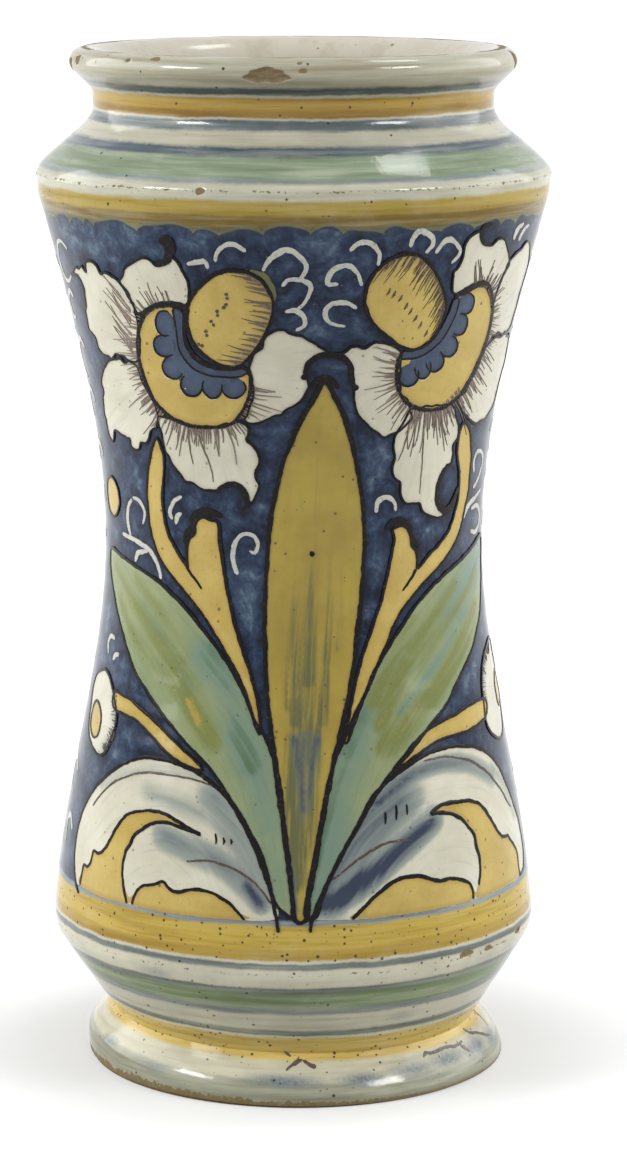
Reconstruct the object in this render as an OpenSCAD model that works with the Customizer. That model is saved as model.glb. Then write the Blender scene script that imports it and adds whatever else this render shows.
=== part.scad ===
// Albarello: a waisted drug jar of tin-glazed earthenware.
// The clay is raised as wheel-thrown sections that lap over each other and are luted with slip.
// A glaze coat covers the outside, in rings of white, blue, yellow and green, and a white lining covers the inside.
// Heights are in millimetres above the table, radii from the jar's axis.

/* [Overall] */
// Height of the jar, from the table to the crest of the lip
pot_h = 260; // [230:1:300]
// Thickness of the whole wall, from outer glaze to lining
wall_t = 6.2; // [5:0.1:8]
// Thickness of the outer glaze coat
glaze_t = 0.6; // [0.3:0.1:1]
// Thickness of the lining glaze
lining_t = 0.6; // [0.3:0.1:1]
// Height of the step in each luted lap joint
lap_h = 2; // [1:0.5:3]

/* [Lip and neck] */
// Radius of the neck at its narrowest place
neck_r = 50.6; // [46:0.1:55]
// How far the lip's edge stands out beyond the neck
lip_overhang = 5.7; // [4:0.1:8]
// Depth from the crest of the lip to its widest edge
lip_edge_drop = 3.4; // [2:0.1:5]
// Distance from the lip's edge in to its crest
lip_roll = 3.8; // [2:0.1:5]
// Depth from the crest of the lip to the narrowest part of the neck
lip_h = 11.5; // [9:0.1:14]
// Depth of the rounded inside of the lip
lip_inner_h = 8.5; // [6:0.1:11]
// Height of the straight neck
neck_h = 4; // [2:0.1:8]

/* [Shoulder] */
// Radius of the sharp edge of the shoulder
shoulder_r = 65; // [60:0.1:70]
// Height of the sloping shoulder, from its edge to the neck
shoulder_h = 15.5; // [12:0.1:20]

/* [Waist] */
// Radius of the waist at its narrowest place
waist_r = 48.2; // [44:0.1:54]
// Height of the narrowest place of the waist
waist_z = 137; // [115:1:155]

/* [Keel] */
// Radius of the keel, the lower edge of the waisted wall
keel_r = 62.1; // [58:0.1:68]
// Height of the keel
keel_z = 36.5; // [30:0.1:45]

/* [Foot] */
// Radius of the cove, the groove between body and foot
cove_r = 48.5; // [45:0.1:55]
// Height of the cove
cove_z = 14.5; // [11:0.1:18]
// How far the foot spreads beyond the cove
foot_flare = 5.9; // [3:0.1:8]
// Height of the foot's widest edge
foot_edge_h = 6.5; // [4:0.1:8]
// How far the foot draws in from its widest edge down to the table
foot_tuck = 3.6; // [2:0.1:5]
// Height of bare clay below the glaze of the foot
foot_bare_h = 1.4; // [1.2:0.1:2.5]
// Depth of the hollow under the floor
recess_h = 2.5; // [1:0.1:4]
// Thickness of the floor
floor_t = 9; // [6:0.1:12]
// Radius of the inside corner between floor and wall
corner_r = 6; // [3:0.1:9]
// Width of the ledge in the foot that carries the floor
ledge_w = 2.5; // [1.5:0.1:4]
// Height of that ledge above the hollow
ledge_h = 2.5; // [1.5:0.1:4]

/* [Painted bands] */
// Depth of white glaze on the lip, below its crest
lip_white_w = 7.4; // [5:0.1:9]
// Width of the blue line under the lip
neck_blue_w = 2; // [1:0.1:3]
// Width of the white line over the yellow band of the neck
neck_white_w = 1.4; // [0.6:0.1:2]
// Width of the yellow band of the neck
neck_yellow_w = 4; // [2:0.1:5]
// Width of the white line under the yellow band of the neck
collar_white_w = 0.6; // [0.4:0.1:1]
// Width of the blue line at the foot of the neck
collar_blue_w = 2; // [1:0.1:3]
// Width of the upper blue line of the shoulder
shoulder_blue_w = 2.2; // [1:0.1:3]
// Width of the green band of the shoulder
shoulder_green_w = 4.5; // [3:0.1:5]
// Width of the blue line beside the shoulder's edge
edge_blue_w = 1.4; // [0.6:0.1:2]
// Width of white glaze above the shoulder's edge
edge_white_above = 1.5; // [0.8:0.1:2]
// Width of white glaze below the shoulder's edge
edge_white_below = 2.5; // [1:0.1:4]
// Width of the yellow band under the shoulder
upper_yellow_w = 7.4; // [4:0.1:10]
// Width of the blue line that closes the painted frieze
frieze_line_w = 1.5; // [0.8:0.1:3]
// Width of the yellow band over the keel
lower_yellow_w = 9.6; // [5:0.1:12]
// Width of the blue line over the keel
keel_blue_w = 2.1; // [1:0.1:3]
// Width of white glaze above the keel
keel_white_above = 0.8; // [0.4:0.1:2]
// Width of white glaze below the keel
keel_white_below = 5.2; // [3:0.1:6]
// Width of the teal line under the keel
keel_teal_w = 1.6; // [0.8:0.1:2]
// Width of the green band under the keel
keel_green_w = 3.9; // [2:0.1:5]
// Width of the blue line under that green band
under_blue_w = 2.1; // [1:0.1:3]
// Width of the blue line over the cove
cove_blue_w = 1; // [0.6:0.1:1.5]
// Width of the yellow band above the cove
cove_yellow_above = 2.9; // [1.5:0.1:3]
// Width of the yellow band below the cove
cove_yellow_below = 3.2; // [1:0.1:3.5]

/* [Hidden] */

clay_colour = "#a98860";
white_colour = "#dedaca";
blue_colour = "#3d4d7c";
line_blue_colour = "#7487a0";
yellow_colour = "#cba64c";
ochre_colour = "#b98f3c";
green_colour = "#8fae94";
teal_colour = "#5f8378";

// Steps along each curve of the outline, and round each rolled edge
curve_steps = 14;
long_steps = 26;
roll_steps = 8;

// Landmarks of the outline
lip_r = neck_r + lip_overhang;
crest_r = lip_r - lip_roll;
lip_edge_z = pot_h - lip_edge_drop;
neck_z = pot_h - lip_h;
neck_foot_z = neck_z - neck_h;
shoulder_z = neck_foot_z - shoulder_h;
mouth_r = neck_r - wall_t;
lip_under_angle = 40;
lip_under_r = crest_r + lip_roll * cos(lip_under_angle);
lip_under_z = lip_edge_z - lip_edge_drop * sin(lip_under_angle);
lip_under_slope = lip_roll / lip_edge_drop * tan(lip_under_angle);
mouth_top_z = pot_h - lip_inner_h;
foot_r = cove_r + foot_flare;
floor_z = recess_h + floor_t;

// Slopes of the outline, as change of radius for each millimetre of height
foot_tuck_slope = 1.1;
foot_slope = -1.4;
cone_slope = 0.6;
keel_slope = -0.08;
flare_slope = 0.27;
shoulder_slope = -1.2;
shoulder_edge_slope = -0.3;
neck_foot_slope = -0.25;

// Rounding of the two sharp edges of the body
keel_round = 3;
shoulder_band_h = 4.5;
shoulder_band_in = 0.4;
shoulder_mid = 0.45;
inner_turn = 7;
inner_neck_drop = 3;

function hermite(z0, r0, m0, z1, r1, m1, n) = [
    for (i = [0 : n - 1])
        let (t = i / n, h = z1 - z0)
            [(2 * t ^ 3 - 3 * t ^ 2 + 1) * r0 + (t ^ 3 - 2 * t ^ 2 + t) * h * m0
                + (3 * t ^ 2 - 2 * t ^ 3) * r1 + (t ^ 3 - t ^ 2) * h * m1,
            z0 + h * t]
];

function rolled(cr, cz, a, b, from, to, n) = [
    for (i = [0 : n]) let (p = from + (to - from) * i / n) [cr + a * cos(p), cz + b * sin(p)]
];

// Moves an outline sideways by d, to the right of its direction of travel when d is positive
function shifted(path, d) = [
    for (i = [0 : len(path) - 1])
        let (
            before = path[max(i - 1, 0)],
            after = path[min(i + 1, len(path) - 1)],
            along = after - before
        )
            path[i] + d * [along[1], -along[0]] / norm(along)
];

function reversed(list) = [for (i = [len(list) - 1 : -1 : 0]) list[i]];
function radius_at(path, z) = lookup(z, [for (p = path) [p[1], p[0]]]);
function top_of(path) = path[len(path) - 1][1];

// The stretch of an outline between two heights, cut level at both ends
function stretch(path, low, high) =
    let (end = min(high, top_of(path)))
        concat(
            [[radius_at(path, low), low]],
            [for (p = path) if (p[1] > low + 0.001 && p[1] < end - 0.001) p],
            [[radius_at(path, end), end]]
        );

// Outer surface, from the table up to the crest of the lip
shoulder_side_r = shoulder_r - shoulder_band_in;
shoulder_mid_z = shoulder_z + shoulder_h * shoulder_mid;
shoulder_mid_r = shoulder_r + (neck_r - shoulder_r) * shoulder_mid;
keel_low_z = keel_z - keel_round;
keel_low_r = keel_r - cone_slope * keel_round * 0.6;
outer = concat(
    hermite(0, foot_r - foot_tuck, foot_tuck_slope, foot_edge_h, foot_r, 0, roll_steps),
    hermite(foot_edge_h, foot_r, 0, cove_z, cove_r, foot_slope, curve_steps),
    hermite(cove_z, cove_r, cone_slope, keel_low_z, keel_low_r, cone_slope, curve_steps),
    hermite(keel_low_z, keel_low_r, cone_slope, keel_z + keel_round, keel_r, keel_slope, curve_steps),
    hermite(keel_z + keel_round, keel_r, keel_slope, waist_z, waist_r, 0, long_steps),
    hermite(waist_z, waist_r, 0, shoulder_z - shoulder_band_h, shoulder_side_r, flare_slope, long_steps),
    hermite(shoulder_z - shoulder_band_h, shoulder_side_r, 0, shoulder_z, shoulder_r, 0, roll_steps),
    hermite(shoulder_z, shoulder_r, shoulder_edge_slope, shoulder_mid_z, shoulder_mid_r, shoulder_slope,
        curve_steps),
    hermite(shoulder_mid_z, shoulder_mid_r, shoulder_slope, neck_foot_z, neck_r, neck_foot_slope, curve_steps),
    hermite(neck_foot_z, neck_r, neck_foot_slope, neck_z, neck_r, 0, roll_steps),
    hermite(neck_z, neck_r, 0, lip_under_z, lip_under_r, lip_under_slope, curve_steps),
    rolled(crest_r, lip_edge_z, lip_roll, lip_edge_drop, -lip_under_angle, 90, curve_steps)
);

// Outer surface of the clay, under the glaze
clay_outer = concat(
    [[foot_r - foot_tuck - glaze_t, 0]],
    [for (p = shifted(outer, -glaze_t)) if (p[1] > 0.01) p]
);

// Inner surface, from the middle of the floor out and up to the crest of the lip
corner_end = -atan(cone_slope);
inner_base_r = radius_at(outer, floor_z + corner_r) - wall_t;
corner_c = [inner_base_r - corner_r * cos(corner_end), floor_z + corner_r];
inner_belly_r = keel_r - wall_t;
inner_shoulder_z = shoulder_z - inner_turn;
inner_shoulder_r = radius_at(outer, inner_shoulder_z) - wall_t;
inner_neck_z = neck_foot_z - inner_neck_drop;
corner_path = rolled(corner_c[0], corner_c[1], corner_r, corner_r, -90, corner_end, roll_steps);
wall_base = corner_path[len(corner_path) - 1];
inner = concat(
    [[0, floor_z]],
    [for (i = [0 : len(corner_path) - 2]) corner_path[i]],
    hermite(wall_base[1], wall_base[0], cone_slope, keel_z + keel_round, inner_belly_r, keel_slope,
        curve_steps),
    hermite(keel_z + keel_round, inner_belly_r, keel_slope, waist_z, waist_r - wall_t, 0, long_steps),
    hermite(waist_z, waist_r - wall_t, 0, inner_shoulder_z, inner_shoulder_r, flare_slope, long_steps),
    hermite(inner_shoulder_z, inner_shoulder_r, flare_slope, inner_neck_z, mouth_r, 0, long_steps),
    [[mouth_r, inner_neck_z]],
    rolled(crest_r, mouth_top_z, crest_r - mouth_r, lip_inner_h, 180, 90, roll_steps)
);

// Inner surface of the clay, under the lining, and its stretches beside and above the floor's corner
clay_inner = concat([[0, floor_z - lining_t]], [for (p = shifted(inner, lining_t)) if (p[0] > 0) p]);
corner_points = len(corner_path) + 1;
clay_corner = concat(
    [[corner_c[0], floor_z - lining_t]],
    [for (i = [2 : corner_points - 1]) clay_inner[i]]
);
clay_inner_wall = [for (i = [corner_points - 1 : len(clay_inner) - 1]) clay_inner[i]];
corner_top_z = clay_inner_wall[0][1];
disc_r = corner_c[0];
disc_top_z = floor_z - lining_t;
recess_r = disc_r - ledge_w;
ledge_z = recess_h + ledge_h;

// Heights of the luted joints on the outside; the inner half of each joint is one step higher
foot_joint_z = cove_z;
keel_joint_z = keel_z;
waist_joint_z = waist_z;
shoulder_joint_z = shoulder_z;
lip_joint_z = neck_z;
foot_joint_top = max(cove_z, corner_top_z) + lap_h;

// Edges of the painted bands, from the lip down
lip_white_z = pot_h - lip_white_w;
neck_blue_z = lip_white_z - neck_blue_w;
neck_white_z = neck_blue_z - neck_white_w;
neck_yellow_z = neck_white_z - neck_yellow_w;
collar_white_z = neck_yellow_z - collar_white_w;
collar_blue_z = collar_white_z - collar_blue_w;
edge_white_top = shoulder_z + edge_white_above;
edge_blue_top = edge_white_top + edge_blue_w;
shoulder_green_top = edge_blue_top + shoulder_green_w;
shoulder_blue_top = shoulder_green_top + shoulder_blue_w;
edge_white_z = shoulder_z - edge_white_below;
upper_yellow_z = edge_white_z - upper_yellow_w;
keel_white_top = keel_z + keel_white_above;
keel_blue_top = keel_white_top + keel_blue_w;
lower_yellow_top = keel_blue_top + lower_yellow_w;
frieze_z = lower_yellow_top + frieze_line_w;
keel_white_z = keel_z - keel_white_below;
keel_teal_z = keel_white_z - keel_teal_w;
keel_green_z = keel_teal_z - keel_green_w;
under_blue_z = keel_green_z - under_blue_w;
cove_yellow_top = cove_z + cove_yellow_above;
cove_blue_top = cove_yellow_top + cove_blue_w;
cove_yellow_z = cove_z - cove_yellow_below;

// The stepped line of a lap joint, from the outside of the clay to the inside
function lap_line(z, top) =
    let (
        out_r = radius_at(clay_outer, z),
        in_r = radius_at(clay_inner_wall, top),
        mid_r = (out_r + in_r) / 2
    )
        [[out_r, z], [mid_r, z], [mid_r, top], [in_r, top]];

module turned(points) rotate_extrude($fn = 96) polygon(points);

// A ring of clay between two lap joints
module clay_ring(low, low_top, high, high_top)
    color(clay_colour)
        turned(concat(
            stretch(clay_outer, low, high),
            lap_line(high, high_top),
            reversed(stretch(clay_inner_wall, low_top, high_top)),
            reversed(lap_line(low, low_top))
        ));

// A ring of the outer glaze between two heights
module glaze_ring(low, high, shade)
    color(shade)
        turned(concat(stretch(outer, low, high), reversed(stretch(clay_outer, low, high))));

module foot_ring()
    color(clay_colour)
        turned(concat(
            stretch(clay_outer, 0, foot_joint_z),
            lap_line(foot_joint_z, foot_joint_top),
            reversed(stretch(clay_inner_wall, corner_top_z, foot_joint_top)),
            reversed(clay_corner),
            [[disc_r, ledge_z], [recess_r, ledge_z], [recess_r, 0]]
        ));

module floor_disc()
    color(clay_colour)
        turned([
            [0, disc_top_z], [disc_r, disc_top_z], [disc_r, ledge_z],
            [recess_r, ledge_z], [recess_r, recess_h], [0, recess_h]
        ]);

module lower_body() clay_ring(foot_joint_z, foot_joint_top, keel_joint_z, keel_joint_z + lap_h);
module lower_wall() clay_ring(keel_joint_z, keel_joint_z + lap_h, waist_joint_z, waist_joint_z + lap_h);
module upper_wall() clay_ring(waist_joint_z, waist_joint_z + lap_h, shoulder_joint_z, shoulder_joint_z + lap_h);
module shoulder_collar() clay_ring(shoulder_joint_z, shoulder_joint_z + lap_h, lip_joint_z, lip_joint_z + lap_h);

module lip()
    color(clay_colour)
        turned(concat(
            stretch(clay_outer, lip_joint_z, top_of(clay_outer)),
            reversed(stretch(clay_inner_wall, lip_joint_z + lap_h, top_of(clay_inner_wall))),
            reversed(lap_line(lip_joint_z, lip_joint_z + lap_h))
        ));

module lining_glaze() color(white_colour) turned(concat(inner, reversed(clay_inner)));

module lip_white_glaze() glaze_ring(lip_white_z, pot_h, white_colour);
module neck_blue_line() glaze_ring(neck_blue_z, lip_white_z, line_blue_colour);
module neck_white_line() glaze_ring(neck_white_z, neck_blue_z, white_colour);
module neck_yellow_band() glaze_ring(neck_yellow_z, neck_white_z, ochre_colour);
module collar_white_line() glaze_ring(collar_white_z, neck_yellow_z, white_colour);
module collar_blue_line() glaze_ring(collar_blue_z, collar_white_z, line_blue_colour);
module shoulder_white_band() glaze_ring(shoulder_blue_top, collar_blue_z, white_colour);
module shoulder_blue_line() glaze_ring(shoulder_green_top, shoulder_blue_top, line_blue_colour);
module shoulder_green_band() glaze_ring(edge_blue_top, shoulder_green_top, green_colour);
module edge_blue_line() glaze_ring(edge_white_top, edge_blue_top, line_blue_colour);
module edge_white_band() glaze_ring(edge_white_z, edge_white_top, white_colour);
module upper_yellow_band() glaze_ring(upper_yellow_z, edge_white_z, ochre_colour);
module frieze_blue_ground() glaze_ring(frieze_z, upper_yellow_z, blue_colour);
module frieze_closing_line() glaze_ring(lower_yellow_top, frieze_z, line_blue_colour);
module lower_yellow_band() glaze_ring(keel_blue_top, lower_yellow_top, yellow_colour);
module keel_blue_line() glaze_ring(keel_white_top, keel_blue_top, line_blue_colour);
module keel_white_band() glaze_ring(keel_white_z, keel_white_top, white_colour);
module keel_teal_line() glaze_ring(keel_teal_z, keel_white_z, teal_colour);
module keel_green_band() glaze_ring(keel_green_z, keel_teal_z, green_colour);
module under_blue_line() glaze_ring(under_blue_z, keel_green_z, line_blue_colour);
module cove_white_band() glaze_ring(cove_blue_top, under_blue_z, white_colour);
module cove_blue_line() glaze_ring(cove_yellow_top, cove_blue_top, line_blue_colour);
module cove_yellow_band() glaze_ring(cove_yellow_z, cove_yellow_top, yellow_colour);
module foot_white_glaze() glaze_ring(foot_bare_h, cove_yellow_z, white_colour);

foot_ring();
floor_disc();
lower_body();
lower_wall();
upper_wall();
shoulder_collar();
lip();
lining_glaze();
lip_white_glaze();
neck_blue_line();
neck_white_line();
neck_yellow_band();
collar_white_line();
collar_blue_line();
shoulder_white_band();
shoulder_blue_line();
shoulder_green_band();
edge_blue_line();
edge_white_band();
upper_yellow_band();
frieze_blue_ground();
frieze_closing_line();
lower_yellow_band();
keel_blue_line();
keel_white_band();
keel_teal_line();
keel_green_band();
under_blue_line();
cove_white_band();
cove_blue_line();
cove_yellow_band();
foot_white_glaze();
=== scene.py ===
# %% [markdown]
# # A painted albarello
# An albarello is a waisted drug jar. This one is earthenware under a white tin glaze, with turned bands of
# blue, yellow and green, and a frieze of flowers and leaves on a cobalt ground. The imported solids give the
# exact turned form. This script dresses them: it lays a hand-thrown glaze coat over the clay, and paints
# the frieze with thin raised layers of colour, as a painter does, ground first, then fills, then dark
# outlines.

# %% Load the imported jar
import math
import random

import bpy
import numpy as np
from mathutils.geometry import delaunay_2d_cdt
from mathutils.kdtree import KDTree
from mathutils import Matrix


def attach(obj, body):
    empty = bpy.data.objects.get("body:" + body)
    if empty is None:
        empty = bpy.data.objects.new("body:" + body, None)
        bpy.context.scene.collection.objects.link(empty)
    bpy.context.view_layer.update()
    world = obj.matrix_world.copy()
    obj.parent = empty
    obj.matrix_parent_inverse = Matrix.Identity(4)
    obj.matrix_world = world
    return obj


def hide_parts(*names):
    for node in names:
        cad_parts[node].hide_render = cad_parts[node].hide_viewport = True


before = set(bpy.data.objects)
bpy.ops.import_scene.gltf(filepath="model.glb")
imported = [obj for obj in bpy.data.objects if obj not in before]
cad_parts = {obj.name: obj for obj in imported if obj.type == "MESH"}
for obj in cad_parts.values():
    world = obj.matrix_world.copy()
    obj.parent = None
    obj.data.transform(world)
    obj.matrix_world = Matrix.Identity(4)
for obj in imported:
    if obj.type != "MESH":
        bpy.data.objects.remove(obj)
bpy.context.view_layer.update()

# %% [markdown]
# ## The outline
# A thrown jar is a turned form, so one outline describes it. From the keel up it has the landmarks of the
# solids: keel, waist, shoulder edge, neck and lip. The foot stands fuller on the table than theirs, and its
# cove lies a little lower. Curves with a chosen slope at each end join the landmarks. Tracing a dense
# outline would also work, but landmarks are easier to change and stay smooth.

# %% Outline of the jar, radius and height in mm
MM = 0.001
GLAZE = 0.6
LEDGE_Z, FLOOR_Z = 5.0, 11.5
COAT_LOW, KEEL_SPLIT, WAIST_Z, EDGE_SPLIT, TOP_Z = 0.6, 37.3, 137, 226.5, 260
LIP_R = 52.5


def curve(z0, r0, slope0, z1, r1, slope1, steps):
    t = np.arange(steps) / steps
    h = z1 - z0
    r = ((2 * t**3 - 3 * t**2 + 1) * r0 + (t**3 - 2 * t**2 + t) * h * slope0 + (3 * t**2 - 2 * t**3) * r1
         + (t**3 - t**2) * h * slope1)
    return list(zip(r, z0 + h * t))


def roll(r, z, a, b, start, end, steps):
    t = np.radians(np.linspace(start, end, steps + 1))
    return list(zip(r + a * np.cos(t), z + b * np.sin(t)))


outline = curve(0, 54.0, 0.02, 2.8, 54.1, 0, 10) + curve(2.8, 54.1, 0, 12.3, 47.4, -1.0, 22)
outline += curve(12.3, 47.4, 0.6, 33.5, 61.02, 0.6, 28) + curve(33.5, 61.02, 0.6, 39.5, 62.1, -0.08, 14)
outline += curve(39.5, 62.1, -0.08, WAIST_Z, 48.2, 0, 92) + curve(WAIST_Z, 48.2, 0, 224.5, 64.6, 0.27, 84)
outline += curve(224.5, 64.6, 0, 229, 65, 0, 10) + curve(229, 65, -0.3, 235.975, 58.52, -1.2, 14)
outline += curve(235.975, 58.52, -1.2, 244.5, 50.6, -0.25, 16)
outline += curve(244.5, 50.6, -0.25, 248.5, 50.6, 0, 8)
outline += curve(248.5, 50.6, 0, 254.41, 55.41, 0.938, 18) + roll(LIP_R, 256.6, 3.8, 3.4, -40, 90, 24)
whole_outline = np.array(outline)


def wall_r(z):
    return np.interp(z, whole_outline[:, 1], whole_outline[:, 0])


def stretch(low, high):
    ends = [(float(wall_r(z)), z) for z in (low, high)]
    return ends[:1] + [p for p in outline if low + 0.05 < p[1] < high - 0.05] + ends[1:]


base_outline, wall_outline = stretch(COAT_LOW, KEEL_SPLIT), stretch(KEEL_SPLIT, EDGE_SPLIT)
collar_outline = stretch(EDGE_SPLIT, TOP_Z)
print("outline points:", len(whole_outline), "waist radius:", round(float(wall_r(WAIST_Z)), 2))

# %% [markdown]
# ## The thrower's hand
# A hand-thrown jar is never quite round, and its wall keeps faint ridges from the fingers. A few slow waves
# round the jar and two quick ones up it give that. The soft foot also sank a little to one side. Every
# layer of paint asks the same functions, so paint stays on the wall.

# %% Waves of the thrown wall, and a place on the wall
def thrown(angle, z):
    return (0.16 * np.sin(2 * angle + 0.7) + 0.09 * np.sin(3 * angle + 0.02 * z)
            + 0.03 * np.sin(0.8 * z + 0.8 * np.sin(angle)) + 0.008 * np.sin(1.7 * z + angle))


def settled(angle, r, z):
    x, outer = r * np.sin(angle), np.clip((r - 36) / 12, 0, 1)
    slide = outer * np.interp(z, [0, 15], [0.7, 0])
    sink = 0.045 * x * outer * np.interp(z, [0, 3.8, 12.3, 30], [0, 1, 0.5, 0])
    return np.stack([x + slide, -r * np.cos(angle), z - sink], -1) * MM


def on_wall(s, z, lift, turn, flip):
    s, z = np.asarray(s, float), np.asarray(z, float)
    angle = flip * s / wall_r(z) + turn
    return settled(angle, wall_r(z) + thrown(angle, z) + lift, z), angle


FRONT = (0.0, 1)
BACK = (math.pi, -1)
print("wave height at the waist:", round(float(thrown(0.3, WAIST_Z)), 3), "mm")

# %% [markdown]
# ## Chips
# Where the lip was knocked, the glaze and a little clay are gone and the brown body shows. A chip is a
# shallow ragged dent: it is cut into the coat and into the clay below, and its depth is kept as an
# attribute, so the material can colour it as clay right up to its broken edge.

# %% Chips of the lip and the edges: angle in degrees, height, half width, half height, depth, all in mm
CHIPS = [(-6.5, 255.9, 5.6, 1.9, 1.0), (2.3, 257.0, 1.1, 0.6, 0.35), (-72, 257.6, 2.2, 1.2, 0.7),
         (-81, 256.2, 3.4, 1.7, 1.0), (79, 257.4, 3.0, 2.2, 1.1), (88, 256.0, 2.2, 1.5, 0.8),
         (-46, 258.6, 1.0, 0.5, 0.4), (-37, 259.1, 1.5, 0.5, 0.4), (1.5, 258.8, 0.7, 0.4, 0.3),
         (150, 256.8, 4.2, 1.8, 1.0), (204, 257.2, 2.4, 1.4, 0.8), (-20, 229.0, 1.3, 0.9, 0.35),
         (44, 37.4, 2.6, 0.9, 0.35), (52, 37.0, 1.6, 0.8, 0.3), (67, 37.6, 2.0, 0.9, 0.35)]
CHIP_REACH = 2.5


def wrapped(angle):
    return (angle + math.pi) % (2 * math.pi) - math.pi


def chip_depth(angle, r, z):
    edge = np.full(np.shape(angle), -1.0)
    dent = np.zeros(np.shape(angle))
    for k, (degrees, height, wide, high, deep) in enumerate(CHIPS):
        across, up = wrapped(angle - math.radians(degrees)) * r / wide, (z - height) / high
        bearing = np.arctan2(up, across)
        jagged = 0.1 * np.sin(3 * bearing + k) + 0.07 * np.sin(7 * bearing + 2.3 * k)
        within = 1 - np.hypot(across, up) - jagged
        edge = np.maximum(edge, within)
        dent = np.maximum(dent, deep * np.clip(within / 0.4, 0, 1))
    return edge, np.where(r > wall_r(z) - CHIP_REACH, dent, 0)


# %% Blue smears, where a wet brush touched the white
# Each has an angle in degrees, a height, half a width and half a height in mm, and a strength.
SMEARS = [(-3, 6.4, 11, 1.7, 1.0), (-42, 4.6, 6, 1.4, 0.5), (19, 6.8, 8, 1.6, 1.0), (35, 7.6, 9, 1.7, 0.8),
          (49, 8.0, 9, 1.9, 0.95), (64, 7.8, 9, 2.2, 1.0), (78, 7.0, 8, 2.2, 1.0), (-64, 6.0, 5, 1.8, 0.9),
          (118, 6, 8, 2.4, 0.6), (-150, 5.6, 7, 2.2, 0.6), (30, 22, 5, 1.6, 0.4), (-34, 34.4, 5, 1.4, 0.45)]


def smeared(angle, r, z):
    tone = np.zeros(np.shape(angle))
    for degrees, height, wide, high, strength in SMEARS:
        across = wrapped(angle - math.radians(degrees)) * r / wide
        tone = np.maximum(tone, strength * np.clip(1.2 - np.hypot(across, (z - height) / high), 0, 1))
    return tone


print("chips:", len(CHIPS), "smears:", len(SMEARS))

# %% [markdown]
# ## Turned coats
# Each coat is a ring: a fine surface that shows and a coarser hidden one, joined at both ends, so the mesh
# is closed like a real layer of glaze. A lathe modifier could spin the outline, but writing the rows
# directly lets every point be waved and chipped on its own. A texture map unrolls the ring.

# %% Lengths along a path, values kept on a mesh, and a mesh set up as a piece of the jar
BAKE_MAP = "OFBake"


def ways_of(path):
    return np.concatenate([[0], np.cumsum(np.hypot(*np.diff(path, axis=0).T))])


def keep_values(mesh, values):
    for label, numbers in values.items():
        kept = mesh.attributes.new(label, "FLOAT", "POINT").data
        kept.foreach_set("value", np.array(numbers, np.float32))


def set_up(name, mesh, sharp):
    mesh.polygons.foreach_set("use_smooth", [True] * len(mesh.polygons))
    mesh.set_sharp_from_angle(angle=math.radians(sharp))
    piece = bpy.data.objects.new(name, mesh)
    bpy.context.scene.collection.objects.link(piece)
    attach(piece, "root")
    print(name, "faces:", len(mesh.polygons))
    return piece


# %% Turn a closed loop of outline points into a ring
CALM_R = 20
LEAST_DENT = 0.05


def turned(name, loop, columns, extra_dent=0.0, poles=False):
    loop = np.array(loop, float)
    rows = len(loop)
    angle = np.linspace(-math.pi, math.pi, columns, endpoint=False)
    a, r = np.meshgrid(angle, loop[:, 0])
    z = np.repeat(loop[:, 1], columns).reshape(rows, columns)
    edge, dent = chip_depth(a, r, z)
    wave = thrown(a, z) * np.clip(r / CALM_R, 0, 1)
    deep = np.where(dent > LEAST_DENT, dent + extra_dent, 0)
    points = settled(a, r + wave - deep, z).reshape(-1, 3)
    ways = ways_of(np.vstack([loop, loop[:1]]))
    label = np.arange(rows * columns).reshape(rows, columns)
    if poles:
        label[0], label[-1] = label[0, 0], label[-1, 0]
    i, j = np.meshgrid(np.arange(rows - 1 if poles else rows), np.arange(columns), indexing="ij")
    corner = [(i, j), (i, j + 1), (i + 1, j + 1), (i + 1, j)]
    quads = np.stack([label[p % rows, q % columns] for p, q in corner], -1).reshape(-1, 4)
    maps = [np.stack([q / columns, ways[p] / ways[-1]], -1) for p, q in corner]
    maps = np.stack(maps, -2).reshape(-1, 4, 2)
    single = np.ones(quads.shape, bool)
    single[:, 1], single[:, 3] = quads[:, 1] != quads[:, 0], quads[:, 3] != quads[:, 2]
    used, quads = np.unique(quads, return_inverse=True)
    quads = quads.reshape(-1, 4)
    mesh = bpy.data.meshes.new(name)
    mesh.from_pydata(points[used].tolist(), [], [q[s].tolist() for q, s in zip(quads, single)])
    mesh.uv_layers.new(name=BAKE_MAP).data.foreach_set("uv", maps[single].reshape(-1))
    values = {"chip": edge, "bearing": a, "level": z, "smear": smeared(a, r, z)}
    keep_values(mesh, {title: grid.reshape(-1)[used] for title, grid in values.items()})
    return set_up(name, mesh, 55)


def under(path, depth, every):
    path = np.array(path)
    along = np.gradient(path, axis=0)
    normal = np.stack([along[:, 1], -along[:, 0]], -1) / np.hypot(*along.T)[:, None]
    hidden = path - depth * normal
    keep = sorted(set(range(0, len(path), every)) | {len(path) - 1})
    return [tuple(hidden[k]) for k in reversed(keep)]


# %% The three outer coats, split where one band of colour meets the next
collar_loop = collar_outline + under(collar_outline, GLAZE, 3)
wall_loop = wall_outline + under(wall_outline, GLAZE, 9)
base_loop = base_outline + under(base_outline, GLAZE, 3)
collar_coat = turned("collar_coat", collar_loop, 560)
wall_coat = turned("wall_coat", wall_loop, 420)
base_coat = turned("base_coat", base_loop, 460)
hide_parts("lip_white_glaze", "neck_blue_line", "neck_white_line", "neck_yellow_band",
            "collar_white_line", "collar_blue_line", "shoulder_white_band", "shoulder_blue_line",
            "shoulder_green_band", "edge_blue_line", "edge_white_band")
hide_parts("upper_yellow_band", "frieze_blue_ground", "frieze_closing_line",
            "lower_yellow_band", "keel_blue_line")
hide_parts("keel_white_band", "keel_teal_line", "keel_green_band", "under_blue_line",
            "cove_white_band", "cove_blue_line", "cove_yellow_band", "foot_white_glaze")

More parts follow.
